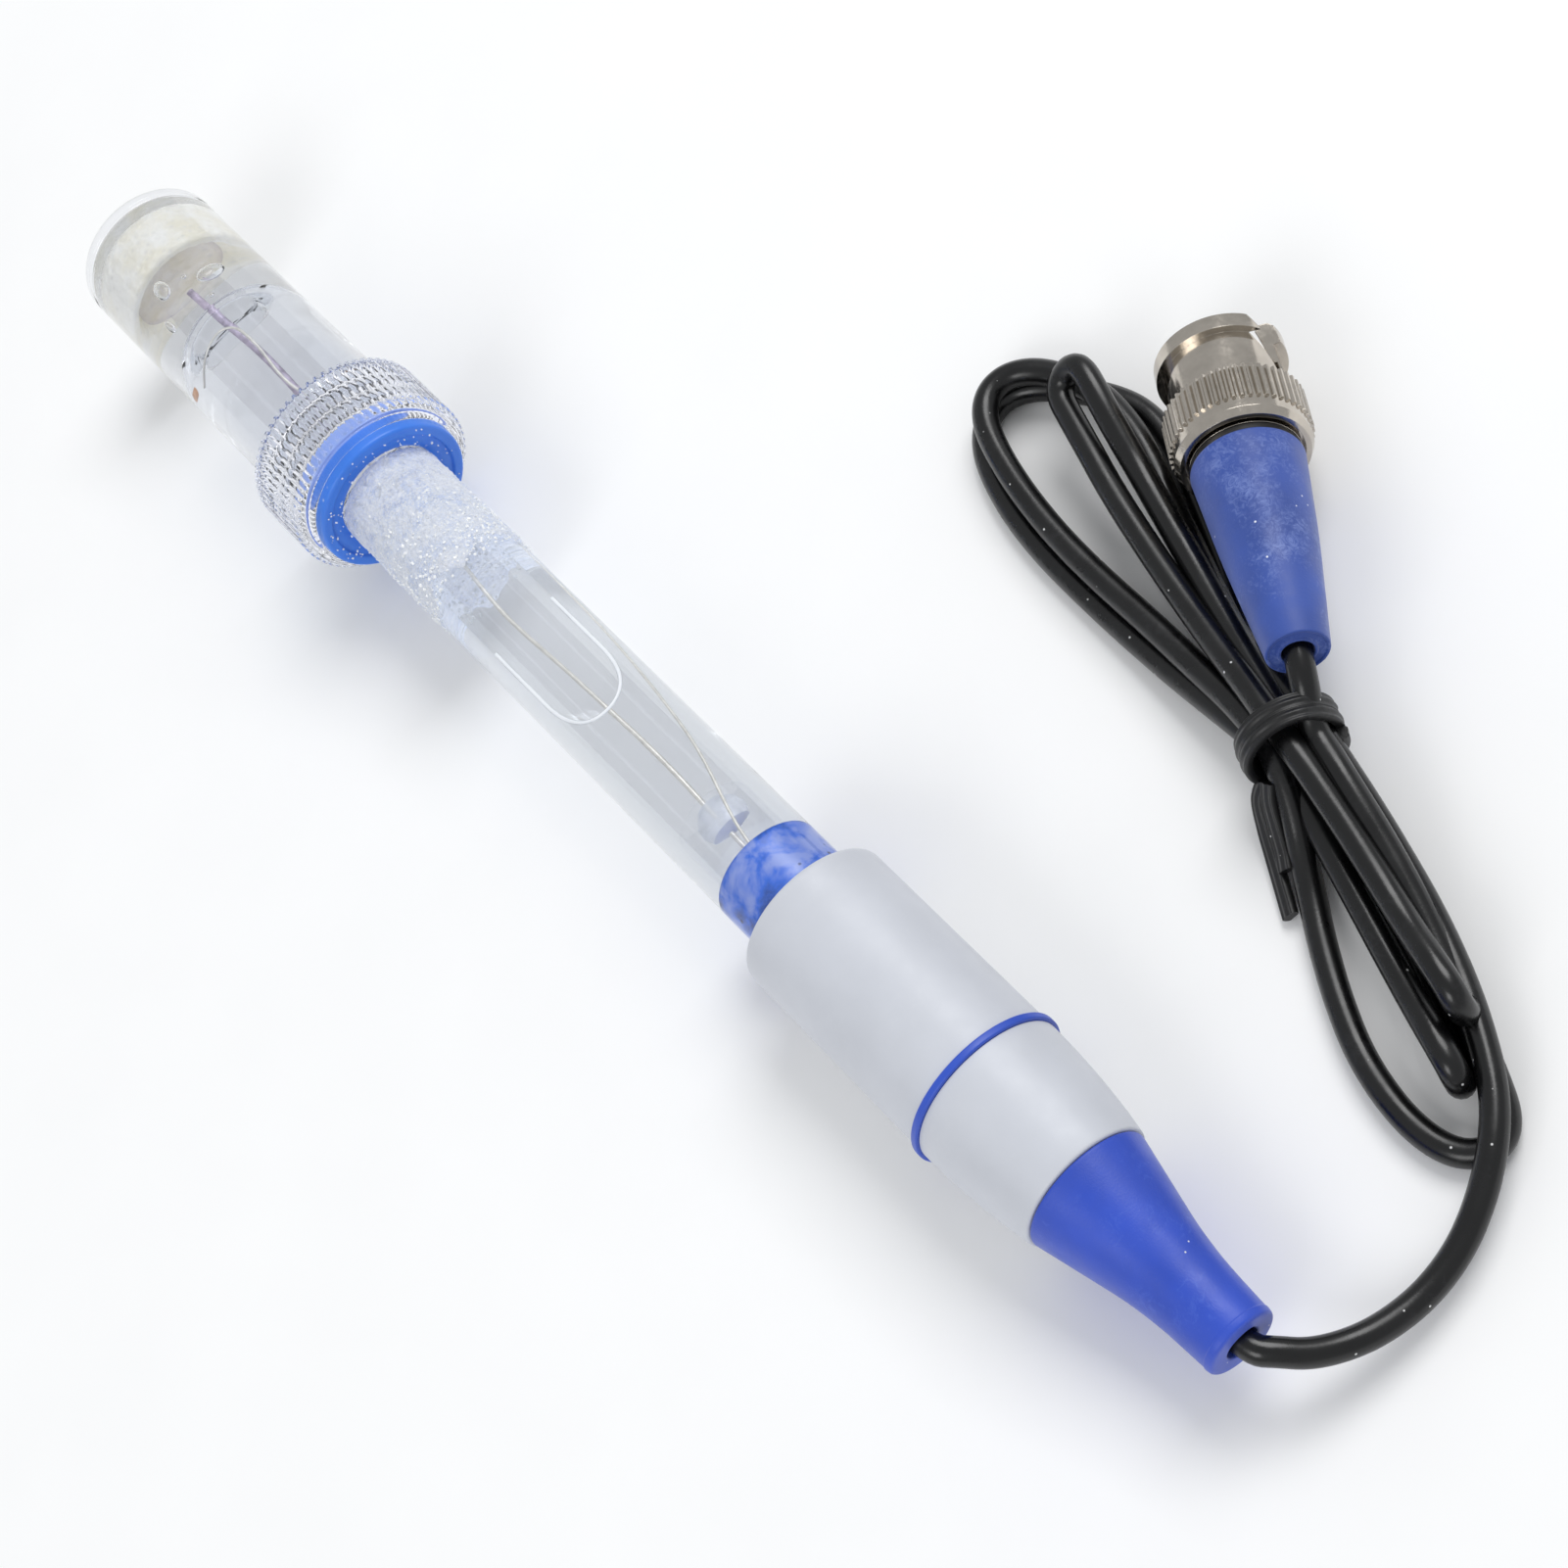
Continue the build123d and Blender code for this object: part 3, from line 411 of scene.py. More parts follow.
class Finish(Nodes):
    """A material's nodes. Patterns follow the object's own place, and scales count them in a metre."""

    def __init__(self, name):
        self.material = bpy.data.materials.new(name)
        self.material.use_nodes = True
        super().__init__(self.material.node_tree)
        self.place = self.add("ShaderNodeTexCoord").outputs["Object"]

    def noise(self, scale, detail=3.0, roughness=0.5, distortion=0.0, vector=None):
        inputs = {"Vector": vector or self.place, "Scale": scale, "Detail": detail,
                  "Roughness": roughness, "Distortion": distortion}
        return self.add("ShaderNodeTexNoise", inputs).outputs["Fac"]

    def ramp(self, factor, *stops):
        """Colours at places along a factor from 0 to 1."""
        node = self.add("ShaderNodeValToRGB", {"Fac": factor})
        elements = node.color_ramp.elements
        while len(elements) < len(stops):
            elements.new(0.5)
        for element, (position, colour) in zip(elements, stops):
            element.position = position
            element.color = (*colour, 1)
        return node.outputs["Color"]

    def tones(self, colour, noise, dark, pale=1.0, start=0.3, end=0.7):
        """From a darker to a paler tone of a colour, after a noise."""
        colour = np.array(colour[:])
        return self.ramp(self.noise(*noise), (start, colour * dark), (end, np.minimum(1, colour * pale)))

    def spread(self, factor, low, high, start=0.0, end=1.0):
        """A factor carried from start..end to low..high."""
        inputs = {"Value": factor, "From Min": start, "From Max": end, "To Min": low, "To Max": high}
        return self.add("ShaderNodeMapRange", inputs).outputs["Result"]

    def uneven(self, low, high, scale=300):
        """A roughness that wanders between two values."""
        return self.spread(self.noise(scale, 4), low, high, 0.3, 0.7)

    def mix(self, factor, first, second):
        return self.add("ShaderNodeMix", {"Factor": factor, 6: first, 7: second}, data_type="RGBA").outputs[2]

    def worn(self, base, fine, coarse, share, start, end, colour):
        """Rubbed patches of another colour, where a fine and a coarse noise are both strong."""
        both = self.math("MULTIPLY", self.noise(*fine), self.noise(*coarse))
        return self.mix(self.spread(both, 0, share, start, end), base, colour)

    def specks(self, scale, size, share):
        """1 in small round specks and 0 elsewhere; only a share of the cells has one."""
        cell = self.add("ShaderNodeTexVoronoi", {"Vector": self.place, "Scale": scale}).outputs
        chance = self.add("ShaderNodeSeparateColor", {0: cell["Color"]}).outputs[0]
        near = self.spread(cell["Distance"], 1, 0, size * 0.6, size)
        return self.math("MULTIPLY", self.math("LESS_THAN", chance, share), near)

    def bump(self, height, depth, strength, normal=None):
        """Relief of a depth in millimetres."""
        inputs = {"Height": height, "Distance": depth * MM, "Strength": strength}
        if normal is not None:
            inputs["Normal"] = normal
        return self.add("ShaderNodeBump", inputs).outputs["Normal"]

    def grain(self, scale, detail, depth, strength):
        return self.bump(self.noise(scale, detail), depth, strength)

    def facing(self):
        """0 where the surface faces the eye and 1 where it is seen edge on."""
        return self.add("ShaderNodeLayerWeight", {"Blend": 0.5}).outputs["Facing"]

    def cover(self):
        """How much of the salt covers a point, as the piece stores it."""
        return self.add("ShaderNodeAttribute", attribute_name="cover").outputs["Fac"]

    def principled(self, base, rough, normal, **inputs):
        names = {key.replace("_", " "): value for key, value in inputs.items()}
        names |= {"Base Color": base, "Roughness": rough}
        if normal is not None:
            names["Normal"] = normal
        return self.add("ShaderNodeBsdfPrincipled", names).outputs["BSDF"]

    def done(self, shader):
        self.add("ShaderNodeOutputMaterial", {"Surface": shader})
        return self.material

    def surface(self, base, rough, normal, **inputs):
        return self.done(self.principled(base, rough, normal, **inputs))


def moulded(name, colour, roughness=0.45, mottle=0.06, grain=9000, depth=0.01, dust=0.0, scuff=0.0, worn=None,
            sheen=0.0):
    """Moulded plastic or rubber: a slightly uneven colour, fine grain, dust specks and pale scuffs."""
    finish = Finish(name)
    base = finish.tones(colour, (160, 4), 1 - 2 * mottle, 1 + mottle)
    if scuff:
        base = finish.worn(base, (900, 6, 0.7, 1.5), (140, 2), scuff, 0.3, 0.42, worn)
    if dust:
        base = finish.mix(finish.specks(1500, 0.16, dust), base, paint(226, 226, 226))
    rough = finish.uneven(roughness - 0.06, roughness + 0.08, 420)
    return finish.surface(base, rough, finish.grain(grain, 3, depth, 0.6), Sheen_Weight=sheen)


def clear(name, ior, tint, lamp_tint, roughness=0.02, smear=0.0, wave=0.0):
    """Clear glass or plastic: light bends by the given index, smears roughen it, slow waves bend it a little, and rays
    from lamps and diffuse light go straight through with a tint."""
    finish = Finish(name)
    rough = finish.spread(finish.noise(220, 5, 0.6, 0.8), roughness, roughness + smear, 0.45, 0.75)
    normal = finish.grain(120, 2, wave, 1.0)
    seen = finish.principled(tint, rough, normal, IOR=ior, Transmission_Weight=1.0)
    path = finish.add("ShaderNodeLightPath").outputs
    lamp = finish.math("MAXIMUM", path["Is Shadow Ray"], path["Is Diffuse Ray"])
    passing = finish.add("ShaderNodeBsdfTransparent", {"Color": lamp_tint}).outputs[0]
    return finish.done(finish.mixed_shader(lamp, seen, passing))


def veil(name, tint, edge, edge_start, gloss, line=1.0):
    """A thin wall inside liquid: see-through with a tint that deepens where it is seen edge on, and a fine line where
    its inner face turns away from the eye."""
    finish = Finish(name)
    facing = finish.facing()
    uneven = finish.math("ADD", facing, finish.spread(finish.noise(90, 3), -0.04, 0.04))
    stops = (0.26, tint), (0.30, np.array(tint) * line), (0.36, tint), (edge_start, tint), (0.97, edge)
    passing = finish.add("ShaderNodeBsdfTransparent", {"Color": finish.ramp(uneven, *stops)}).outputs[0]
    shine = finish.add("ShaderNodeBsdfGlossy", {"Color": (1, 1, 1), "Roughness": 0.05}).outputs[0]
    return finish.done(finish.mixed_shader(finish.spread(facing, 0, gloss, 0.6, 1.0), passing, shine))


def plated(name, colour, bloom, scratches, edge=0.0):
    """Plated metal: a dull bloom in places, fine scratches in its roughness, and edges that shine as if rounded. The
    bloom is given by its scale, tone, start and end, the scratches by their scale and their two roughnesses."""
    finish = Finish(name)
    scale, dark, start, end = bloom
    base = finish.tones(colour, (scale, 4, 0.6), dark, 1.0, start, end)
    scale, smooth, scratched = scratches
    rough = finish.spread(finish.noise(scale, 5, 0.7, 1.0), smooth, scratched, 0.4, 0.72)
    eased = finish.add("ShaderNodeBevel", {"Radius": edge * MM}, samples=4).outputs["Normal"] if edge else None
    return finish.surface(base, rough, finish.bump(finish.noise(3600, 3), 0.004, 0.5, eased), Metallic=1.0)


def show_solid(node, material):
    """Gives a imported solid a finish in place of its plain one."""
    for place in frame["nodes"][node].material_slots:
        place.material = material


def settings(name):
    return getattr(bpy.context.scene, name)


class ELECTRODE_OT_stage(bpy.types.Operator):
    """Pale floor, soft lamps, room light and the photograph's camera"""

    bl_idname = "electrode.stage"
    bl_label = "Stage"

    def execute(self, context):
        stage = settings("stage_settings")
        scene = context.scene
        camera_data = bpy.data.cameras.new("photo camera")
        camera_data.sensor_width = CAMERA_SENSOR
        camera_data.lens = CAMERA_LENS
        camera = linked("photo camera", camera_data)
        right = CAMERA_RIGHT * cos(CAMERA_ROLL) - CAMERA_UP * sin(CAMERA_ROLL)
        up = CAMERA_RIGHT * sin(CAMERA_ROLL) + CAMERA_UP * cos(CAMERA_ROLL)
        placed = Matrix((right, up, right.cross(up))).transposed().to_4x4()
        placed.translation = CAMERA_PLACE
        camera.matrix_world = placed
        scene.camera = camera

        finish = Finish("pale floor")
        colour = finish.tones(stage.floor, (60, 3), 0.985)
        side = np.linspace(-1.6, 1.6, 9)
        corners = np.stack([*np.meshgrid(side, side, indexing="ij"), np.zeros((9, 9))], -1)
        mesh = bpy.data.meshes.new("floor")
        mesh.from_pydata(corners.reshape(-1, 3).tolist(), [], grid_faces(9, 9, False, False).tolist())
        mesh.materials.append(finish.surface(colour, 0.9, None, Specular_IOR_Level=0.0))
        floor = linked("floor", mesh)

        for name, power, size, place in (
            ("main lamp", stage.key, 0.5, (-0.15, 0.55, 0.75)),
            ("second lamp", stage.fill, 0.35, (0.35, -0.55, 0.55)),
        ):
            lamp = bpy.data.lights.new(name, "AREA")
            lamp.shape = "SQUARE"
            lamp.size = size
            lamp.energy = power
            holder = linked(name, lamp)
            holder.location = place
            holder.rotation_euler = (-Vector(place)).to_track_quat("-Z", "Y").to_euler()

        world = bpy.data.worlds.new("room")
        world.use_nodes = True
        room = Nodes(world.node_tree)
        path = room.add("ShaderNodeLightPath").outputs
        seen = room.math("MAXIMUM", path["Is Camera Ray"], path["Is Transmission Ray"])
        light = room.add("ShaderNodeBackground", {"Color": (0.96, 0.98, 1), "Strength": stage.sky}).outputs[0]
        white = room.add("ShaderNodeBackground", {"Color": (1, 1, 1)}).outputs[0]
        room.add("ShaderNodeOutputWorld", {"Surface": room.mixed_shader(seen, light, white)})
        scene.world = world
        scene.view_settings.view_transform = "Standard"
        return {"FINISHED"}


def cable_route():
    """Route of the cable from the strain relief to the plug's boot: its control points, in millimetres."""
    relief_end = electrode_line.span("strain_relief")[1]
    boot_end = plug_line.span("plug_boot")[1]
    from_relief = electrode_line.at(np.array((relief_end - 3.95, relief_end + 0.8))) / MM
    into_boot = plug_line.at(np.array((boot_end + 0.8, boot_end - 3.95))) / MM
    return [
        *from_relief.tolist(),
        # Free stretch, and up the right side of the lower half to the tie
        (94.5, 1.6, 7.5), (96.2, 3.3, 6.4), (97.5, 5.9, 5.0), (98.5, 9.3, 3.8), (98.9, 14.0, 2.9), (98.3, 18.9, 2.9),
        (96.8, 23.3, 3.7), (94.5, 27.4, 4.3), (91.7, 30.6, 4.3), (88.4, 33.0, 4.25), (84.0, 35.6, 4.3),
        (79.6, 37.7, 4.4), (74.9, 39.6, 4.6), (69.8, 41.3, 5.0), (64.9, 42.8, 5.8), (60.8, 43.9, 6.8),
        (57.4, 44.8, 7.4), (54.7, 45.6, 7.4),
        # First turn of the long upper loop
        (49.4, 46.5, 7.1), (43.0, 46.9, 6.4), (38.1, 48.7, 5.2), (32.0, 51.1, 4.6), (26.3, 53.3, 4.3),
        (20.4, 55.8, 4.25), (15.4, 57.3, 4.25), (10.4, 57.9, 4.25), (6.2, 57.1, 4.25), (2.8, 55.6, 4.25),
        (0.8, 53.4, 4.25), (0.6, 50.8, 4.25), (2.4, 48.4, 4.25), (6.4, 46.6, 4.25), (12.4, 45.0, 4.25),
        (19.2, 43.9, 4.25), (26.2, 43.4, 4.3), (33.4, 43.2, 4.7), (41.0, 42.7, 5.5), (47.4, 42.3, 6.6),
        (52.4, 41.5, 7.2),
        # Long lower loop, on the floor
        (55.6, 40.2, 6.4), (58.4, 38.5, 4.8), (61.0, 36.4, 2.9), (64.5, 33.9, 1.7), (68.8, 31.0, 1.45),
        (73.9, 28.1, 1.45), (79.0, 25.8, 1.45), (84.5, 24.5, 1.45), (88.6, 24.4, 1.45), (91.6, 25.2, 1.45),
        (93.4, 27.0, 1.45), (93.6, 29.0, 1.45), (92.2, 30.8, 1.45), (89.2, 32.4, 1.45), (85.2, 34.2, 1.45),
        (80.8, 36.4, 1.45), (75.2, 38.6, 1.5), (69.3, 40.6, 2.2), (64.0, 42.2, 3.2), (59.6, 43.4, 4.3),
        (56.0, 44.2, 5.0),
        # Second turn of the long upper loop, under the first
        (48.8, 45.9, 4.6), (42.5, 47.6, 3.7), (37.4, 50.2, 2.5), (31.7, 53.2, 1.7), (25.1, 56.3, 1.45),
        (18.8, 59.1, 1.45), (14.1, 59.9, 1.45), (9.9, 59.0, 1.45), (6.2, 57.1, 1.45), (3.0, 55.2, 1.45),
        (0.9, 52.8, 1.45), (0.5, 50.0, 1.45), (2.3, 47.3, 1.45), (5.4, 45.3, 1.45), (10.6, 43.5, 1.45),
        (17.1, 42.3, 1.45), (24.3, 41.8, 1.5), (31.2, 41.5, 1.8), (39.2, 41.3, 2.8), (46.4, 41.3, 4.2),
        (52.2, 41.3, 4.9),
        # Middle lower loop, folded down
        (56.0, 40.5, 4.9), (60.0, 39.3, 4.4), (64.2, 37.8, 3.9), (69.5, 36.0, 3.9), (75.5, 33.9, 4.2),
        (80.0, 32.4, 5.0), (83.5, 31.3, 5.95), (86.7, 30.3, 6.2), (88.0, 29.8, 4.85), (88.0, 29.85, 2.85),
        (86.6, 30.5, 1.45), (82.8, 32.3, 1.45), (78.0, 34.6, 1.5), (71.6, 37.2, 2.2), (65.4, 39.6, 3.9),
        (60.0, 41.7, 6.2), (54.9, 43.4, 7.4),
        # Short upper loop, over the long one
        (50.0, 44.9, 7.6), (45.2, 46.2, 7.4), (40.8, 47.6, 6.9), (34.0, 49.8, 6.5), (27.5, 51.9, 6.4),
        (21.7, 53.8, 6.6), (17.6, 55.1, 8.2), (13.8, 56.45, 9.5), (10.4, 57.6, 9.85), (8.8, 57.15, 9.05),
        (8.3, 55.85, 7.85), (9.1, 54.45, 7.05), (11.9, 53.5, 7.05), (15.6, 52.3, 7.0), (21.6, 50.3, 6.9),
        (28.6, 48.4, 6.9), (36.3, 46.5, 7.2), (42.5, 45.1, 7.9), (48.2, 43.9, 8.8), (52.9, 42.8, 9.5),
        # Short lower loop, folded down on top of the others
        (57.2, 41.9, 9.6), (61.0, 41.0, 9.0), (65.7, 39.8, 8.2), (70.9, 38.3, 7.5), (75.9, 36.8, 7.7),
        (79.8, 35.8, 8.8), (83.2, 34.9, 9.05), (84.5, 34.4, 7.65), (84.6, 34.6, 5.65), (83.3, 35.3, 4.3),
        (79.5, 36.9, 4.7), (74.0, 39.2, 5.8), (68.2, 41.2, 7.2), (63.0, 42.7, 8.5), (58.9, 43.9, 9.0),
        (56.0, 44.7, 9.1),
        *into_boot.tolist(),
    ]


class ELECTRODE_OT_cable(bpy.types.Operator):
    """The whole cable, from the strain relief through the tied hank to the plug"""

    bl_idname = "electrode.cable"
    bl_label = "Cable"

    def execute(self, context):
        cable = settings("cable_settings")
        route = np.array(cable_route()) * MM
        curve = bpy.data.curves.new("cable", "CURVE")
        curve.dimensions = "3D"
        spline = curve.splines.new("NURBS")
        spline.points.add(len(route) - 1)
        spline.points.foreach_set("co", np.hstack([route, np.ones((len(route), 1))]).ravel())
        spline.order_u = 3
        spline.use_endpoint_u = True
        spline.resolution_u = 8
        curve.bevel_depth = cable.diameter / 2
        curve.bevel_resolution = 6
        curve.use_fill_caps = True
        finish = Finish("cable sheath")
        base = finish.tones(cable.sheath, (130, 4), 0.8, 1.2)
        base = finish.worn(base, (700, 6, 0.7, 2.0), (110, 2), 0.22, 0.3, 0.45, paint(58, 58, 61))
        base = finish.mix(finish.specks(900, 0.13, 0.10), base, paint(215, 215, 215))
        curve.materials.append(finish.surface(base, finish.uneven(0.2, 0.36), finish.grain(2400, 4, 0.015, 0.6)))
        piece = linked("cable", curve)
        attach(piece, "electrode")
        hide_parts("cable_lead", "cable_hank", "cable_tail")
        return {"FINISHED"}


def thread_height(stations, around, pitch, start, end, height):
    """Height of a helical ridge: h times a flat-topped bump of the distance to the nearest turn, faded at both ends."""
    angles = np.arange(around)[None, :] / around
    turn = (stations[:, None] / pitch - angles) % 1
    flank = smooth_step((0.42 - np.abs(turn - 0.5)) / 0.22)
    ends = smooth_step((stations - start) / 1.2) * smooth_step((end - stations) / 1.2)
    return height * flank * ends[:, None]


def storage_bottle(bottle):
    """Clear bottle with a rimmed bottom and a threaded neck, which also stands for the solution in it."""
    start, end = electrode_line.span("bottle")
    radius = BOTTLE_RADIUS
    inner = radius - bottle.wall / MM
    around = 192
    outline = rounded([
        (start + 0.65, 0, 0), (start + 0.65, inner - 1.1, 0.3), (start, inner - 0.5, 0.3), (start, radius - 0.55, 0.4),
        (start + 0.75, radius, 0.5), (start + 1.6, radius, 0.15), (start + 1.75, radius - 0.3, 0.15),
        (start + 2.05, radius - 0.3, 0.15), (start + 2.3, radius, 0.2), (end, radius, 0.3), (end, inner, 0.25),
        (start + 1.3, inner, 0.9), (start + 1.3, 0, 0),
    ])
    neck = level(np.arange(end - 7.2, end - 0.5, 0.14), radius)
    split = np.flatnonzero((outline[:, 0] > end - 0.5) & (outline[:, 1] > inner + 0.3))[0]
    outline = np.vstack([outline[:split], neck, outline[split:]])
    stations, radii = outline.T
    ridge = thread_height(stations, around, bottle.thread_pitch / MM, end - 7.0, end - 0.9, bottle.thread_height / MM)
    outside = (np.arange(len(outline)) < split + len(neck))[:, None]
    side = np.where((radii[:-1] <= inner + 1e-6) & (np.arange(len(outline) - 1) > split), 1, 0)
    side[(stations[:-1] > end - 7.2) & (side == 0)] = 2
    tint = bottle.plastic[:]
    dry_side = clear("clear bottle plastic", 1.45, tint, (0.95, 0.95, 0.96), 0.01, 0.06, 0.05)
    wet_side = clear("bottle plastic against the solution", 1.12, tint, WET_TINT, 0.0, 0.03, 0.03)
    neck_side = clear("clear threaded neck", 1.22, tint, (0.95, 0.95, 0.96), 0.01, 0.05, 0.03)
    make_piece("storage_bottle", turned_points(stations, radii[:, None] + ridge * outside, around),
               [dry_side, wet_side, neck_side], body="bottle", replaced=("bottle", "storage_solution"),
               slot="clear_bottle", face_material=side, poles=True)


def bottle_sponge(bottle):
    """Wet sponge at the bottom of the bottle, hollow where the bulb sits, with its pores sunk in. Its pits carry
    painted shade, and it glows faintly in its own colour, which is painted light.
    """
    start, end = electrode_line.span("sponge")
    inner = BOTTLE_RADIUS - bottle.wall / MM
    rows, around = 120, 160
    outline = rounded([
        (start + 1.2, 0, 0), (start + 1.2, inner - 0.35, 1.8), (end + 0.3, inner - 0.3, 2.2), (end - 0.6, 4.7, 1.2),
        (end - 3.5, 4.4, 1.5), (start + 3.3, 2.2, 1.4), (start + 2.9, 0, 0),
    ], steps=6)
    even = np.linspace(0, len(outline) - 1, rows)
    stations, radii = (np.interp(even, np.arange(len(outline)), values) for values in outline.T)
    smooth = turned_points(stations, radii, around)
    pits = value_noise(smooth, 0.7 * MM, 5) + 0.6 * value_noise(smooth, 0.35 * MM, 6)
    inside = smooth_step((inner - 0.15 - radii) / 0.3)[:, None]
    pulled = radii[:, None] - (0.12 + 0.10 * inside) * np.abs(pits) * (radii > 0)[:, None]
    sponge = Finish("wet sponge")
    pores = sponge.add("ShaderNodeTexVoronoi", {"Vector": sponge.place, "Scale": 1050}).outputs["Distance"]
    tone = np.array(bottle.sponge[:])
    cloudy = sponge.tones(tone, (260, 5, 0.6), (0.93, 0.9, 0.8), 1.0, 0.35, 0.6)
    # The pores' pits are painted darker than the rest of the sponge: painted shade in the pits
    base = sponge.mix(sponge.spread(pores, 0.7, 0.0, 0.0, 0.35), cloudy, tone * 0.8)
    # The sponge glows faintly in its own colour: painted light that lifts its shaded hollow
    finish = sponge.surface(base, 0.6, sponge.bump(pores, 0.15, 0.9), Emission_Color=base, Emission_Strength=0.15)
    make_piece("bottle_sponge", turned_points(stations, pulled, around), [finish], body="bottle",
               replaced=("sponge",), slot="sponge", poles=True)


class ELECTRODE_OT_bottle(bpy.types.Operator):
    """Clear storage bottle with its rimmed bottom and threaded neck, and the sponge in it"""

    bl_idname = "electrode.bottle"
    bl_label = "Storage bottle"

    def execute(self, context):
        storage_bottle(settings("bottle_settings"))
        bottle_sponge(settings("bottle_settings"))
        return {"FINISHED"}


def screw_cap(bottle):
    """Clear cap with grip ribs that end in scallops, an open lip and a thread inside."""
    start, end = electrode_line.span("bottle_cap")
    height = bottle.rib_height / MM
    root, inner, hole = CAP_RADIUS - height, CAP_INNER_RADIUS, CAP_HOLE_RADIUS
    edge = end - 1.1
    outline = np.vstack([
        rounded([(start, inner, 0), (start, root, 0.3), (start + 0.35, root, 0)]),
        level(np.arange(start + 0.35, edge - 0.2, 0.3), root),
        rounded([
            (edge - 0.1, root, 0), (edge + 0.15, root, 0.3), (end, root - 1.0, 0.35), (end, hole, 0.2),
            (end - 1.6, hole, 0.2), (end - 1.6, inner, 0.15), (end - 2.0, inner, 0),
        ]),
        level(np.arange(end - 2.2, start + 0.3, -0.16), inner),
    ])
    around = 8 * bottle.rib_count
    rib = smooth_step(np.cos(bottle.rib_count * full_turn(around)) + 0.45)[None, :]
    stations, radii = outline.T
    outside = radii > root - 0.9
    reach = smooth_step((stations - start + 0.1) / 0.5) * smooth_step((edge + 0.25 - stations) / 0.5) * outside
    flutes = rib * height * reach[:, None]
    scallop = 0.45 * (1 - rib) * smooth_step((start + 0.9 - stations) / 0.9)[:, None] * outside[:, None]
    inside = (np.arange(len(outline)) > len(outline) // 2) & (np.abs(radii - inner) < 1e-6)
    ridge = thread_height(stations, around, bottle.thread_pitch / MM, start + 1.2, end - 2.4, 0.3) * inside[:, None]
    points = turned_points(stations[:, None] + scallop, radii[:, None] + flutes - ridge, around)
    plastic = clear("clear ribbed cap plastic", 1.35, paint(247, 249, 255), (0.96, 0.97, 0.98), 0.02, 0.05, 0.03)
    lip = clear("clear cap lip", 1.15, paint(250, 251, 255), (0.96, 0.97, 0.98), 0.02, 0.05, 0.03)
    make_piece("screw_cap", points, [plastic, lip], body="cap", replaced=("bottle_cap",), slot="clear_bottle",
               face_material=(stations > edge + 0.1) & (radii < root - 0.3), closed=(True, True), sharp=50)


def gasket(bottle):
    """Soft blue gasket, with a paler copy of its rubber on the flange inside the clear cap: painted light where the
    gasket is seen through the cap.
    """
    start, end = electrode_line.span("bottle_gasket")
    flange, collar, bore = GASKET_FLANGE_RADIUS, GASKET_COLLAR_RADIUS, GLASS_RADIUS + 0.08
    outline = rounded([
        (start, bore, 0.1), (start, flange, 0.2), (start + 1.4, flange, 0.2), (start + 1.4, collar, 0.1),
        (end, collar, 0.45), (end, 7.85, 0.2), (end - 0.35, 7.7, 0.12), (end - 0.3, 6.9, 0.3), (end - 0.55, bore, 0.3),
    ], closed=True)
    rubber = Finish("blue gasket rubber")
    base = rubber.tones(bottle.gasket, (150, 3), 0.86)
    salt = rubber.math("MULTIPLY", rubber.specks(1100, 0.22, 0.35), rubber.spread(rubber.noise(160), 0, 1, 0.45, 0.6))
    base = rubber.mix(salt, base, paint(235, 240, 248))
    soft = rubber.surface(base, rubber.uneven(0.28, 0.42), rubber.grain(2600, 3, 0.015, 0.6), Subsurface_Weight=0.25,
                          Subsurface_Radius=(0.3, 0.6, 1.0), Subsurface_Scale=1.2 * MM)
    # Paler copy of the blue rubber for the flange inside the cap: painted light, since the rubber itself is one colour
    pale = 0.25 + 0.75 * np.array(bottle.gasket[:])
    painted_paler = moulded("gasket rubber pressed on the cap", pale, 0.3, 0.08, 2600, 0.02)
    turned_piece("gasket", outline, [soft, painted_paler], around=160, body="gasket", replaced=("bottle_gasket",),
                 slot="gasket", face_material=(outline[:, 0] < start + 1.6) & (outline[:, 1] > 8.6))


class ELECTRODE_OT_cap(bpy.types.Operator):
    """Clear ribbed screw cap and the blue gasket that it clamps"""

    bl_idname = "electrode.cap"
    bl_label = "Cap and gasket"

    def execute(self, context):
        screw_cap(settings("bottle_settings"))
        gasket(settings("bottle_settings"))
        return {"FINISHED"}


def glass_body(glass):
    """Outer surface of the glass, closed round the stem at its tip; the part in the bottle bends light less."""
    start, end = electrode_line.span("body_tube")
    wet_end = electrode_line.span("bottle_gasket")[1]
    radius = GLASS_RADIUS
    outline = np.vstack([
        rounded([
            (start + 0.3, SEAL_RADIUS, 0), (start, 3.4, 0.5), (start, radius - 0.9, 1.2), (start + 1.4, radius, 1.2),
            (start + 4.0, radius, 0),
        ], steps=9),
        level(np.linspace(start + 4.2, wet_end - 0.3, 14), radius),
        level(np.linspace(wet_end, end - 0.2, 40), radius),
        [(end, radius - 0.1)],
    ])
    tint = np.array(glass.body[:])
    wet = clear("glass body in the solution", 1.12, 0.68 + 0.32 * tint, GLASS_LAMP_TINT, 0.0, 0.02, 0.02)
    dry = clear("drawn glass body", 1.5, tint, GLASS_LAMP_TINT, 0.0, 0.05, 0.04)
    turned_piece("glass_body", outline, [dry, wet], around=160, closed=False, poles=False,
                 replaced=("body_tube", "reference_electrolyte"), slot="clear_glass",
                 face_material=outline[:-1, 0] < wet_end - 0.1)


def bubble_half_angle(stations, first, last, widest):
    """Half angle of the air bubble at each station: constant, then the quarter ellipse a sqrt(1 - t^2) at its ends."""
    t = np.clip((stations - (last - BUBBLE_ROUNDING)) / BUBBLE_ROUNDING, 0, 1)
    back = np.clip((first + BUBBLE_BACK - stations) / BUBBLE_BACK, 0, 1)
    return widest * np.sqrt(1 - t**2) * np.sqrt(1 - back**2)


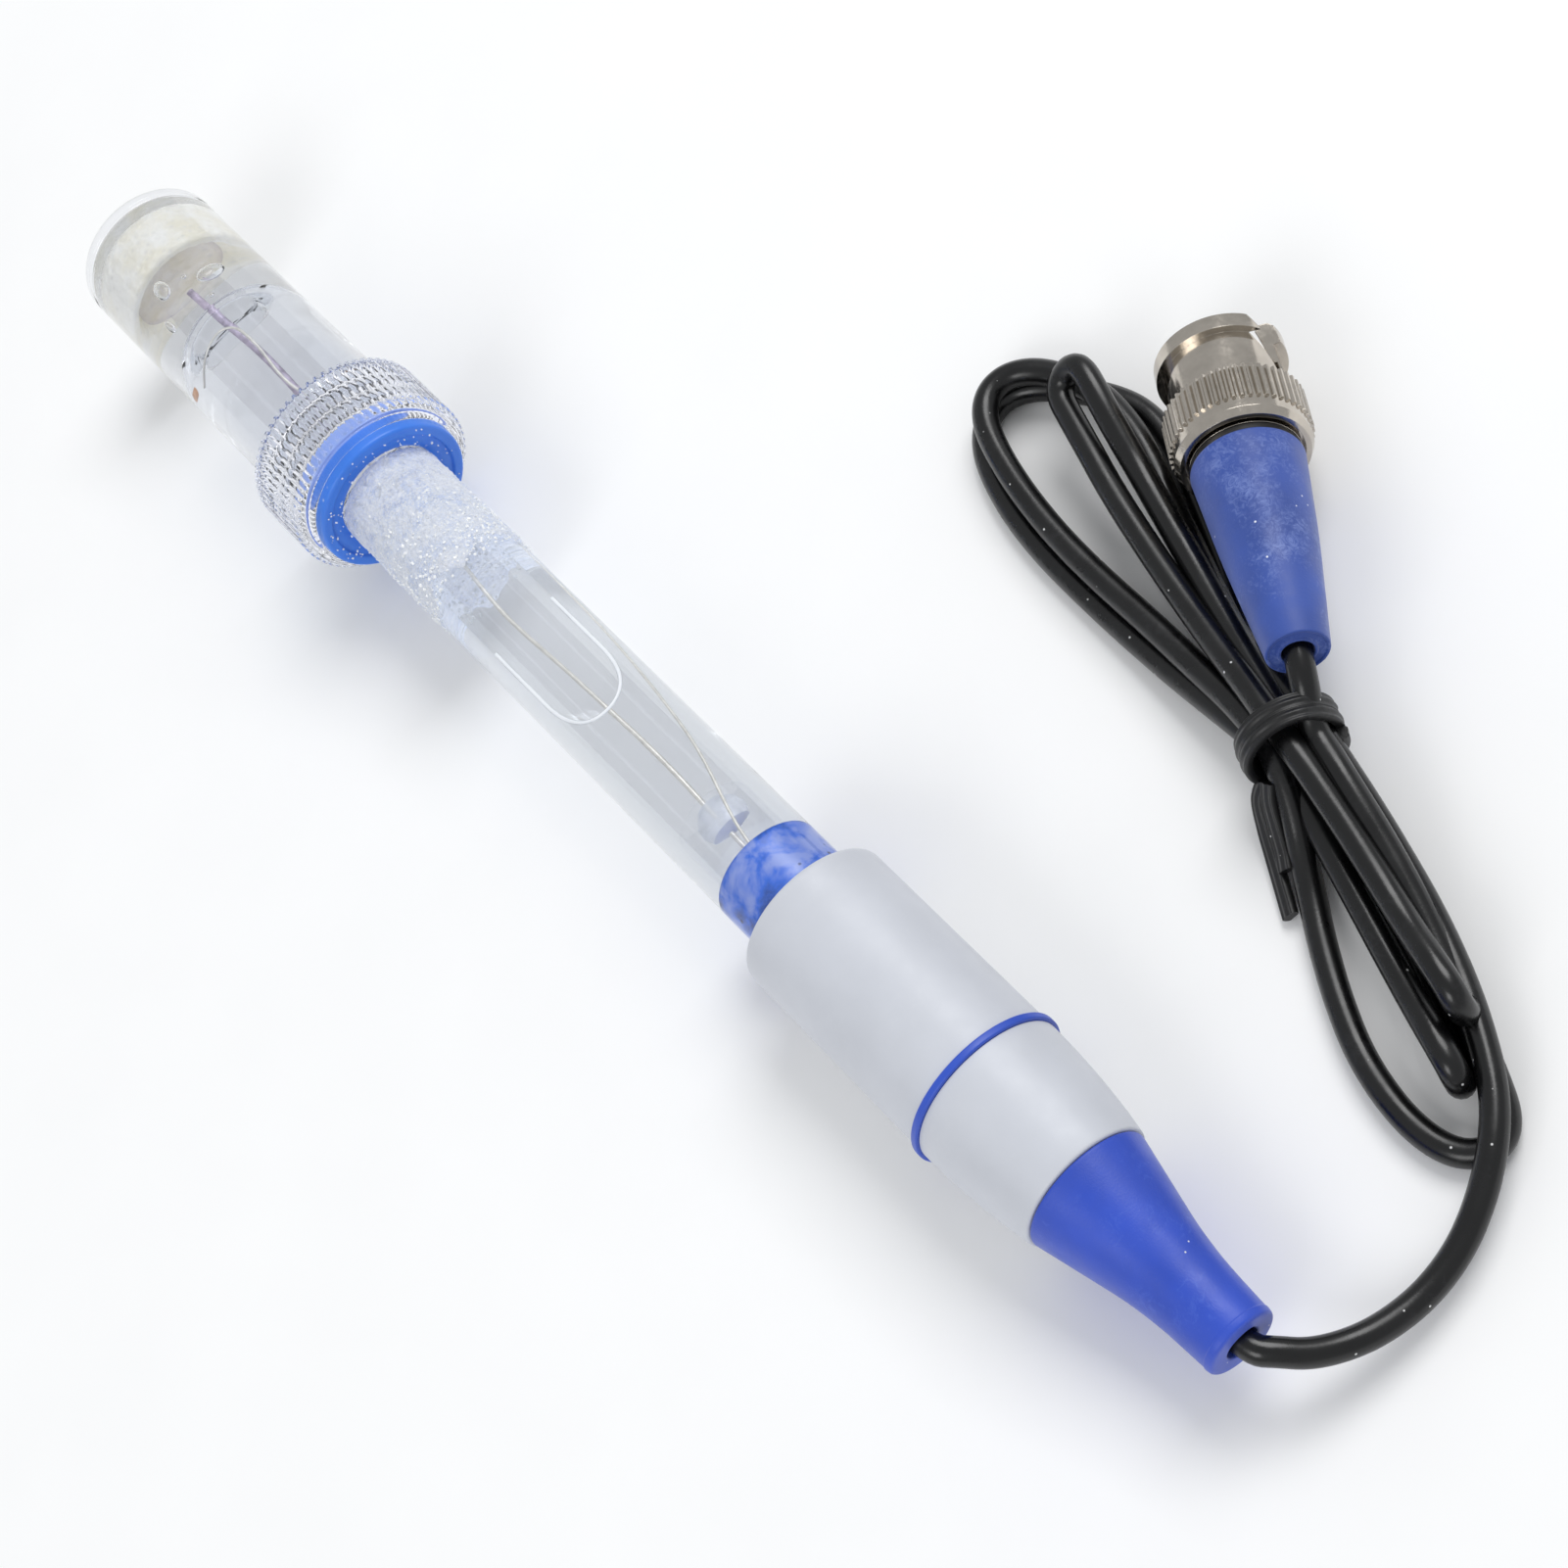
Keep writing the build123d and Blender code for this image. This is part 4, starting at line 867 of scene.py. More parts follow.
def liquid_in_glass(glass):
    """Inner wall of the glass, the electrolyte's surface under the air bubble, and the liquid's raised edge, which is
    painted as a glowing white line with dark sides: painted highlight and painted shade.
    """
    end = electrode_line.span("body_tube")[1]
    wet_end = electrode_line.span("bottle_gasket")[1]
    inner = GLASS_RADIUS - glass.wall / MM
    first, last = wet_end + 0.6, glass.bubble_end / MM
    widest = np.arccos(glass.bubble_floor / MM / inner)

    # The inner wall's columns follow the bubble's edge, and its rows run from the stopper's end back to the bottle
    stations = np.unique(np.concatenate([
        [wet_end - 0.6],
        first + BUBBLE_BACK * (1 - np.cos(np.linspace(0, 1, 10) * pi / 2)),
        np.linspace(first + 2.2, last - 7.2, 24),
        last - BUBBLE_ROUNDING * (1 - np.sin(np.linspace(0, 1, 36) * pi / 2)),
        np.linspace(last + 0.4, end, 40),
    ]))[::-1]
    half = np.maximum(bubble_half_angle(stations, first, last, widest), 1e-3)
    half = np.where((stations < first) | (stations > last), 1e-3, half)[:, None]
    over = np.linspace(-1, 1, 49) * half
    under = half + np.linspace(0, 1, 97)[1:-1] * (2 * pi - 2 * half)
    angles = np.hstack([over, under])
    middle = (stations[:-1] + stations[1:]) / 2
    in_bubble = ((middle > first) & (middle < last))[:, None] & (np.arange(angles.shape[1]) < 48)
    wall = clear("glass body against the electrolyte", 1.12, WET_TINT, WET_LAMP_TINT, 0.0, 0.02, 0.02)
    bubble_wall = clear("glass body against the air bubble", 1.34, (0.98, 0.985, 0.99), WET_LAMP_TINT, 0.0, 0.02, 0.02)
    make_piece("glass_inner_wall", electrode_line.at(stations[:, None], inner, angles), [wall, bubble_wall],
               slot="clear_glass", face_material=in_bubble, inner=True)

    # The electrolyte's open surface: a level chord, a little higher at the glass
    along = stations[(stations > first) & (stations < last)][::-1]
    half = bubble_half_angle(along, first, last, widest)
    share = np.linspace(-1, 1, 33)
    rise, reach = np.cos(half)[:, None], np.sin(half)[:, None]
    height = inner * rise - 0.35 * reach * (1 - share**4)
    surface = clear("electrolyte's surface", 1.26, (0.985, 0.99, 0.995), (0.99, 0.99, 1.0), 0.0, 0.01, 0.03)
    make_piece("electrolyte_surface", electrode_line.beside(along[:, None], height, share * inner * reach), [surface],
               slot="electrolyte", closed=(False, False), inner=True)

    edge, half = along[along > last - 16], half[along > last - 16]
    rim = electrode_line.at(np.concatenate([edge, edge[::-1]]), inner - 0.16, np.concatenate([half, -half[::-1]]))
    # The raised edge is painted white where it faces the eye and dark where it is seen edge on, and it glows: painted
    # highlight and painted shade, not the liquid's colour
    highlight_bead = Finish("liquid's raised edge")
    facing = highlight_bead.math("ADD", highlight_bead.facing(), highlight_bead.spread(highlight_bead.noise(500, 2), -0.1, 0.1, 0.35, 0.65))
    tone = highlight_bead.ramp(facing, (0.0, (0.95, 0.96, 0.98)), (0.45, (0.9, 0.92, 0.95)), (0.8, (0.3, 0.31, 0.34)))
    finish = highlight_bead.surface(tone, 0.1, None, Emission_Color=tone, Emission_Strength=0.15)
    rod_piece("liquid_edge", rim, 0.2 * MM, finish, 16, slot="electrolyte", inner=True)


def blown_stem(glass):
    """Thin stem with its blown bulb: a ball that runs into the stem by a waist, and the weld that holds it."""
    tip = electrode_line.span("body_tube")[0]
    start, end = electrode_line.span("inner_stem")
    bulb = 4.0
    centre = start + bulb
    turn = np.linspace(0, pi - radians(36), 40)
    ball = np.stack([centre - bulb * np.cos(turn), bulb * np.sin(turn)], -1)
    waist = smooth_path(
        [ball[-1], (centre + 4.4, STEM_RADIUS - 0.26), (centre + 5.4, STEM_RADIUS - 0.15), (tip - 0.4, STEM_RADIUS)], 6)
    outline = np.vstack([ball, waist[1:], level(np.linspace(tip + 0.6, end, 40), STEM_RADIUS)])
    pale = np.array(glass.stem[:])
    blown = veil("blown stem glass", 0.82 + 0.16 * pale, 0.6 + 0.4 * pale, 0.7, 0.3, 1.04)
    bulb_glass = veil("blown bulb glass", (0.97, 0.96, 0.98), (0.87, 0.85, 0.91), 0.5, 0.3)
    turned_piece("stem", outline, [blown, bulb_glass], around=96, closed=False, replaced=("inner_stem",),
                 slot="bulb_glass", face_material=outline[:-1, 0] < centre + 4.2, inner=True)

    weld = clear("glass weld of the stem", 1.07, WET_TINT, WET_LAMP_TINT, 0.0, 0.02, 0.03)
    outline = rounded([
        (tip + 0.5, WELD_RADIUS, 0.2), (tip + 0.5, 3.7, 0.5), (tip + 1.9, 3.3, 0.6), (tip + 3.2, WELD_RADIUS, 0.2),
    ], closed=True)
    turned_piece("stem_weld", outline, [weld], around=96, slot="clear_glass", inner=True)


class ELECTRODE_OT_glass(bpy.types.Operator):
    """Glass body, the long air bubble in its electrolyte, the stem with its blown bulb, and the junction"""

    bl_idname = "electrode.glass"
    bl_label = "Glass body"

    def execute(self, context):
        glass = settings("glass_settings")
        glass_body(glass)
        liquid_in_glass(glass)
        blown_stem(glass)
        show_solid("ceramic_junction", moulded("porous ceramic", paint(206, 142, 92), 0.7, 0.15, 5000, 0.05))
        return {"FINISHED"}


def wire(name, rows, steps, radius, material, around, **options):
    """Wire of a radius in millimetres through (station, up, side) points."""
    path = electrode_line.beside(*smooth_path(rows, steps).T)
    rod_piece(name, path, radius * MM, material, around, **options)


def silver_wires(glass):
    """Measuring wire in the stem, coated at its tip, and the reference wire that hooks round the stem."""
    drawn = Finish("bare silver wire")
    base = drawn.tones(glass.silver, (1800, 3), 0.8, end=0.65)
    silver = drawn.surface(base, 0.35, drawn.grain(2500, 3, 0.01, 0.5), Metallic=0.3)
    coat = Finish("silver chloride coat")
    base = coat.tones(glass.coat, (900, 5, 0.7), 0.6, 1.5)
    coated = coat.surface(base, 0.5, coat.grain(4000, 3, 0.03, 0.8), Metallic=0.3)
    start, end = electrode_line.span("measuring_wire")
    rows = [(start + 3.5, 0.0, 0.0), (start + 10, 0.1, 0.2), (start + 20, 0.3, 0.5), (start + 34, 0.1, 0.2)]
    wire("coated_wire", rows, 12, 0.3, coated, 16, replaced=("measuring_wire",), slot="coated_silver")
    rows = [
        (start + 34, 0.1, 0.2), (start + 46, 0.5, 0.9), (start + 56, 0.2, 0.2), (start + 66, -0.2, -0.5),
        (start + 78, 0.2, -0.1), (start + 92, 0.3, 0.2), (start + 103, 0.0, 0.0), (end, 0.0, 0.0),
    ]
    wire("silver_wire", rows, 14, 0.2, silver, 10, slot="silver")
    tip = electrode_line.span("body_tube")[0]
    stopper = electrode_line.span("stopper")[0]
    rows = [
        (tip + 4.6, 0.6, -4.3), (tip + 3.9, 3.0, -3.2), (tip + 3.6, 4.4, -1.0), (tip + 5.0, 4.6, 0.6),
        (tip + 9.0, 4.6, 0.9), (tip + 17, 4.4, 0.6), (tip + 27, 3.4, 2.8), (tip + 37, 0.6, 4.4),
        (stopper - 34, 0.2, 4.3), (stopper - 15, 2.5, 3.4), (stopper - 1.8, 4.0, 0.8), (stopper + 7, 4.3, 0.0),
    ]
    wire("reference_silver_wire", rows, 14, 0.15, silver, 10, replaced=("reference_wire",), slot="silver")


def stem_seal(glass):
    """Nearly clear seal on the end of the stem, with a white drop of sealant on it."""
    first, last = electrode_line.span("stem_seal")
    seal = Finish("translucent stem seal")
    cloudy = seal.spread(seal.noise(260), 0.02, 0.15, 0.35, 0.7)
    sealed = seal.surface(seal.tones(glass.seal, (200, 3), 0.9), 0.25, seal.grain(700, 3, 0.03, 0.5), Alpha=cloudy)
    outline = rounded([
        (first, SEAL_RADIUS, 0.1), (first, 2.9, 0.2), (first + 0.9, 3.1, 0.3), (last, 3.1, 0.2),
        (last, SEAL_RADIUS, 0.1),
    ], closed=True)
    turned_piece("stem_end_seal", outline, [sealed], around=96, replaced=("stem_seal",), slot="white_seal", inner=True)

    drop = Finish("white drop of sealant")
    thick = drop.spread(drop.noise(420), 0.6, 1.0, 0.35, 0.6)
    white = drop.surface(drop.tones(glass.seal, (500, 3), 0.85, end=0.6), 0.3, drop.grain(900, 3, 0.05, 0.8),
                         Alpha=thick)
    stations, radii = np.array([(-0.4, 0.3), (-0.1, 1.1), (1.0, 1.75), (2.2, 1.9), (3.4, 1.6), (4.0, 0.6)]).T
    rod_piece("sealant_drop", electrode_line.at(first + stations, 0.35, 2.2), radii * MM, white, 40,
              slot="white_seal", inner=True)


def blue_stopper(glass):
    """Blue stopper with a hollow face, cloudy patches, and dark specks of painted shade for its holes."""
    tone = np.array(glass.stopper[:])
    blue = Finish("blue stopper")
    base = blue.ramp(blue.noise(230, 4, 0.6, 0.3), (0.36, tone * 0.4), (0.5, tone), (0.62, 0.25 + 0.75 * tone))
    # Dark specks stand for the stopper's holes, which the surface doesn't have: painted shade
    base = blue.mix(blue.specks(700, 0.2, 0.2), base, paint(18, 40, 96))
    finish = blue.surface(base, 0.25, blue.grain(380, 4, 0.12, 0.7))
    first, last = electrode_line.span("stopper")
    outline = rounded([
        (first + 1.6, 0, 0), (first + 1.6, 3.64, 0.3), (first, 4.0, 0.5), (first + 0.5, 4.97, 0.5), (last, 4.97, 0.2),
        (last, 0, 0),
    ])
    turned_piece("blue_stopper", outline, [finish], closed=False, replaced=("stopper",), slot="blue_stopper")


class ELECTRODE_OT_wires(bpy.types.Operator):
    """Coated silver wire in the stem, the reference wire, the stem's seal and the blue stopper"""

    bl_idname = "electrode.wires"
    bl_label = "Wires, seal and stopper"

    def execute(self, context):
        glass = settings("glass_settings")
        silver_wires(glass)
        stem_seal(glass)
        blue_stopper(glass)
        return {"FINISHED"}


class ELECTRODE_OT_handle(bpy.types.Operator):
    """Grey handle shells, the blue trim ring and the rubber strain relief"""

    bl_idname = "electrode.handle"
    bl_label = "Handle"

    def execute(self, context):
        handle = settings("handle_settings")
        grey = moulded("grey satin shell", handle.grey, 0.42, 0.02, 7000, 0.012, scuff=0.1, worn=(0.75, 0.77, 0.8))
        start, end = electrode_line.span("handle_front")
        hole, bore = GLASS_RADIUS + 0.03, HANDLE_RADIUS - 1.0
        outline = rounded([
            (start, hole, 0.12), (start, HANDLE_RADIUS, handle.edge / MM), (end, HANDLE_RADIUS, 0.12),
            (end, bore, 0.05), (start + 2.2, bore, 0.1), (start + 2.2, hole, 0.1),
        ], closed=True, steps=8)
        turned_piece("front_shell", outline, [grey], around=160, replaced=("handle_front",), slot="grey_handle")

        first, last = electrode_line.span("trim_ring")
        ring = moulded("blue trim ring", handle.ring, 0.4, 0.05, 7000, 0.01)
        outline = rounded([(first, 7.38, 0.05), (first, 8.75, 0.2), (last, 8.75, 0.2), (last, 7.38, 0.05)], closed=True)
        turned_piece("blue_ring", outline, [ring], around=160, replaced=("trim_ring",), slot="blue_ring")

        start, end = electrode_line.span("handle_rear")
        share = np.linspace(0, 1, 24)
        narrowing = HANDLE_END_RADIUS - HANDLE_RADIUS
        taper = np.stack([last + 0.05 + (end - last - 0.05) * share,
                          HANDLE_RADIUS + narrowing * share + 1.12 * share * (1 - share)], -1)
        outline = np.vstack([
            [(start, 6.4), (start, 7.3), (last + 0.02, 7.3)], taper[:-1],
            rounded([(*taper[-2], 0), (end, HANDLE_END_RADIUS, 0.3), (end, 4.6, 0)])[1:],
            [(end - 2.2, 4.6), (end - 2.2, 6.4)],
        ])
        turned_piece("rear_shell", outline, [grey], around=160, replaced=("handle_rear",), slot="grey_handle", sharp=30)

        first, last = electrode_line.span("strain_relief")
        collar = end + 0.05
        cone_end = last - 7.8
        outline = rounded([
            (first, 0, 0), (first, 5.5, 0.2), (end - 2.3, 5.5, 0.1), (end - 2.3, 4.5, 0), (collar, 4.5, 0),
            (collar, 6.9, 0.35), (cone_end - 2.5, 4.62, 1.5), (cone_end + 1.5, 4.05, 2.2), (last - 0.9, 3.78, 0.2),
            (last - 0.8, 3.86, 0.15), (last, 3.72, 0.5), (last, 1.75, 0.25), (last - 3.9, 1.55, 0), (last - 3.9, 0, 0),
        ], steps=7)
        stations, radii = outline[:, :1], outline[:, 1:]
        around = 128
        torn = 0.25 * np.maximum(0, np.sin(full_turn(around) + 0.6)) ** 6 * smooth_step((stations - last + 0.5) / 0.5)
        torn = torn * ((radii < 2.2) & (radii > 1.4))
        rubber = moulded("blue strain relief rubber", handle.rubber, 0.42, 0.07, 5200, 0.03, dust=0.02, scuff=0.3,
                         worn=paint(92, 124, 222), sheen=0.15)
        make_piece("rubber_strain_relief", turned_points(stations, radii + torn, around), [rubber],
                   replaced=("strain_relief",), slot="blue_rubber", poles=True)
        show_solid("potting", moulded("resin", (0.2, 0.21, 0.23), 0.3))
        return {"FINISHED"}


def strip_outline(width, thickness, rib_height):
    """Outline of a flat strip with edges rounded by (1 - (2x)^8)^0.5 and two fine ribs along its outer face."""
    x = np.linspace(-0.5, 0.5, 25)
    bow = thickness / 2 * (1 - (2 * x) ** 8) ** 0.5
    top = bow + rib_height * np.cos(4 * pi * x) * (1 - (2 * x) ** 4)
    return np.vstack([np.stack([x * width, top], -1)[::-1], np.stack([x * width, -bow], -1)[1:-1]])


class ELECTRODE_OT_tie(bpy.types.Operator):
    """Flat wire tie: two turns round the hank and its two ends"""

    bl_idname = "electrode.tie"
    bl_label = "Wire tie"

    def execute(self, context):
        black = moulded("wire tie sheath", settings("cable_settings").tie, 0.42, 0.12, 3800, 0.03, dust=0.05,
                        scuff=0.25, worn=paint(70, 70, 72))
        turns = np.linspace(0, 4 * pi, 180)[:, None]
        squared = np.hypot(1, 0.28 * np.sin(2 * turns))
        outward = squared * (4.65 * np.cos(turns) * TIE_LEVEL + 5.2 * np.sin(turns) * np.array((0, 0, 1)))
        shift = 1.2 * (turns / (2 * pi) - 1) + 0.12 * np.sin(3 * turns)
        path = TIE_CENTRE + outward * (1 + 0.01 * np.sin(2 * turns)) + shift * TIE_ALONG
        band_piece("wire_tie", path * MM, outward, strip_outline(1.75, 1.0, 0.09), black, replaced=("cable_tie",),
                   slot="tie")
        for name, points in (
            ("wire_tie_end", [(54.6, 38.5, 5.4), (55.0, 37.1, 4.2), (56.5, 35.8, 2.6), (58.5, 34.5, 1.5),
                              (60.2, 33.5, 1.2), (64.2, 31.2, 1.1)]),
            ("wire_tie_short_end", [(55.5, 38.6, 6.4), (56.4, 37.5, 5.3), (58.0, 36.3, 3.8), (59.8, 35.1, 2.8),
                                    (61.3, 34.0, 2.5)]),
        ):
            band_piece(name, smooth_path(points, 10) * MM, (-0.35, -0.6, 0.7), strip_outline(1.9, 0.95, 0.07), black,
                       slot="tie")
        return {"FINISHED"}


class ELECTRODE_OT_plug(bpy.types.Operator):
    """Bayonet plug: plated sleeve and body, insulator, contact, rings and the rubber boot"""

    bl_idname = "electrode.plug"
    bl_label = "Plug"

    def execute(self, context):
        plug = settings("plug_settings")
        nickel = plated("nickel plate", plug.nickel, (330, 0.8, 0.32, 0.7), (1500, 0.10, 0.24), edge=0.09)
        for node in ("plug_sleeve", "plug_body", "plug_clip", "spring_washer"):
            show_solid(node, nickel)
        show_solid("plug_insulator", moulded("white insulator", plug.insulator, 0.4))
        contact = plated("plated centre contact", plug.contact, (260, 0.82, 0.3, 0.72), (1200, 0.15, 0.25))
        show_solid("contact_pin", contact)
        show_solid("plug_seal", moulded("seal rubber", paint(60, 60, 62), 0.5))
        show_solid("rear_ring", moulded("black ring", paint(22, 22, 24), 0.4))

        first, end = plug_line.span("plug_boot")
        outline = np.vstack([[(first + 7.1, 0), (first + 7.1, BOOT_BORE_RADIUS)], rounded([
            (first, BOOT_BORE_RADIUS, 0.05), (first, 5.7, 0.3), (first + 10.5, 4.75, 3.0), (end - 0.1, 3.1, 0.1),
            (end, 3.02, 0.12), (end, 2.8, 0.1), (end - 0.12, 2.7, 0.05), (end - 0.12, 1.98, 0.05),
            (end + 0.06, 1.88, 0.08), (end + 0.06, 1.6, 0.1), (end - 3.9, 1.52, 0), (end - 3.9, 0, 0),
        ])])
        boot = Finish("blue boot rubber")
        base = boot.tones(plug.boot, (150, 4), 0.8, 1.1)
        base = boot.worn(base, (1300, 7, 0.75, 1.5), (170, 3), 0.75, 0.27, 0.42, paint(112, 132, 196))
        base = boot.mix(boot.specks(1100, 0.15, 0.06), base, paint(228, 232, 244))
        rubber = boot.surface(base, boot.uneven(0.42, 0.6), boot.grain(3600, 4, 0.03, 0.7), Sheen_Weight=0.15)
        turned_piece("rubber_boot", outline, [rubber], closed=False, line=plug_line, replaced=("plug_boot",),
                     slot="blue_boot")
        return {"FINISHED"}


def salty_piece(name, points, material, cover, **options):
    """Piece that stores how much salt covers each of its corners."""
    piece = make_piece(name, points, [material], sharp=180, **options)
    attribute = piece.data.attributes.new("cover", "FLOAT", "POINT")
    attribute.data.foreach_set("value", cover.ravel())


def salt_crust(salt, face, reach):
    """Crust of dried salt on the glass: its thickness and its ragged end follow noises of several sizes."""
    around = 260
    stations = np.arange(face - 0.25, face + reach + 3.2, 0.13)
    smooth = turned_points(stations, np.full(len(stations), GLASS_RADIUS), around)
    grains = np.abs(value_noise(smooth, 0.55 * MM, 11)) + 0.6 * np.abs(value_noise(smooth, 0.24 * MM, 12))
    patches = value_noise(smooth, 2.6 * MM, 13)
    ragged = 1.9 * value_noise(smooth, 3.0 * MM, 14) + 0.9 * value_noise(smooth, 0.9 * MM, 15)
    cover = smooth_step((face + reach - stations[:, None] + ragged) / 1.1)
    thickness = salt.thickness / MM * (0.12 + 0.55 * grains * (0.7 + 0.5 * patches)) * cover + 0.012

    crust = Finish("dried salt crust")
    spots = crust.spread(crust.noise(1050, 5, 0.65, 0.5), 0.72, 1.0, 0.34, 0.5)
    wear = crust.math("MULTIPLY", spots, crust.spread(crust.noise(4200, 3, 0.7), 0.85, 1.0, 0.3, 0.5))
    alpha = crust.math("MULTIPLY", crust.spread(crust.cover(), 0, 1, 0.3, 0.6), wear)
    tone = np.array(salt.colour[:])
    needles = crust.noise(1500, 6, 0.75, 2.5)
    shade = crust.ramp(crust.noise(330, 4, 0.6, 0.8),
                       (0.4, tone * (0.66, 0.74, 0.93)), (0.56, tone * (0.88, 0.91, 0.97)))
    base = crust.mix(crust.spread(needles, 0, 1, 0.46, 0.58), shade, tone)
    normal = crust.bump(needles, 0.2, 1.0, crust.bump(crust.noise(2600, 5, 0.7), 0.12, 0.9))
    # The crust glows in its own colour, much more on its back faces than on its front: painted light for light through
    # the thin salt
    painted_glow = crust.spread(crust.add("ShaderNodeNewGeometry").outputs["Backfacing"], 0.04, 0.5)
    finish = crust.surface(base, 0.55, normal, Alpha=alpha, Emission_Color=tone, Emission_Strength=painted_glow)
    faces = grid_faces(len(stations), around, False, True)
    faces = faces[cover.ravel()[faces].max(1) > 0.05]
    salty_piece("salt_crust", turned_points(stations, GLASS_RADIUS + thickness, around), finish, cover, faces=faces)


def salt_film(face, reach):
    """Smeared film of salt beyond the crust, on the side of the glass that faces up."""
    stations = np.arange(face + reach - 3.0, face + reach + 9.5, 0.5)[:, None]
    angles = np.radians(np.linspace(-115, 75, 96))
    fade = np.clip((face + reach + 8.0 - stations) / 6.0, 0, 1) * np.ones(96)
    film = Finish("smeared salt film")
    drawn_out = film.add("ShaderNodeMapping", {"Vector": film.place, "Scale": (8.0, 1.0, 1.0)}).outputs["Vector"]
    streaks = film.noise(70, 5, 0.65, 0.6, drawn_out)
    alpha = film.math("MULTIPLY", film.spread(streaks, 0.02, 0.42, 0.42, 0.66), film.cover())
    pale = film.ramp(streaks, (0.4, paint(205, 212, 222)), (0.7, paint(236, 240, 246)))
    # The film glows faintly in its own colour: painted light that whitens its streaks
    finish = film.surface(pale, 0.5, None, Alpha=alpha, Emission_Color=pale, Emission_Strength=0.15)
    salty_piece("salt_film", electrode_line.at(stations, GLASS_RADIUS + 0.014, angles), finish, fade,
                closed=(False, False), inner=True)


def salt_crystals(salt, face, reach):
    """Loose crystals: flattened cubes c + s (k + 2w u x k + 2 u x (u x k)), with k the eight corners, s the size and
    (w, u) a random unit quaternion. One in eight lies on the gasket's face."""
    count = salt.crystals
    dice = np.random.default_rng(41)
    on_face = np.arange(count) < count // 8
    station = np.where(on_face, face + 0.02, face + reach * dice.beta(4.0, 1.3, count) + 0.5)
    radius = np.where(on_face, dice.uniform(6.3, 8.7, count), GLASS_RADIUS + 0.08 + 0.1 * dice.random(count))
    centre = electrode_line.at(station, radius, dice.uniform(0, 2 * pi, count))
    size = dice.uniform(0.05, 0.19, count) * np.where(on_face, 0.65, 1) * MM
    turn = unit(dice.normal(size=(4, count)).T)[:, None]
    w, u = turn[..., :1], turn[..., 1:]
    corners = np.array(list(product((-1, 1), repeat=3))) * (1, 0.8, 0.6)
    turned = corners + 2 * w * np.cross(u, corners) + 2 * np.cross(u, np.cross(u, corners))
    sides = np.array([(0, 1, 3, 2), (4, 6, 7, 5), (0, 4, 5, 1), (2, 3, 7, 6), (0, 2, 6, 4), (1, 5, 7, 3)])
    faces = (np.arange(count)[:, None, None] * 8 + sides).reshape(-1, 4)
    white = moulded("salt crystals", np.minimum(1, np.array(salt.colour[:]) * 1.08), 0.25, 0.05, 6000, 0.02)
    make_piece("salt_crystals", centre[:, None] + size[:, None, None] * turned, [white], faces=faces, sharp=20)


class ELECTRODE_OT_salt(bpy.types.Operator):
    """Dried salt: the crust on the glass by the gasket, the smeared film beyond it and loose crystals"""

    bl_idname = "electrode.salt"
    bl_label = "Dried salt"

    def execute(self, context):
        salt = settings("salt_settings")
        face = electrode_line.span("bottle_gasket")[1]
        reach = salt.reach / MM
        salt_crust(salt, face, reach)
        salt_film(face, reach)
        salt_crystals(salt, face, reach)
        return {"FINISHED"}


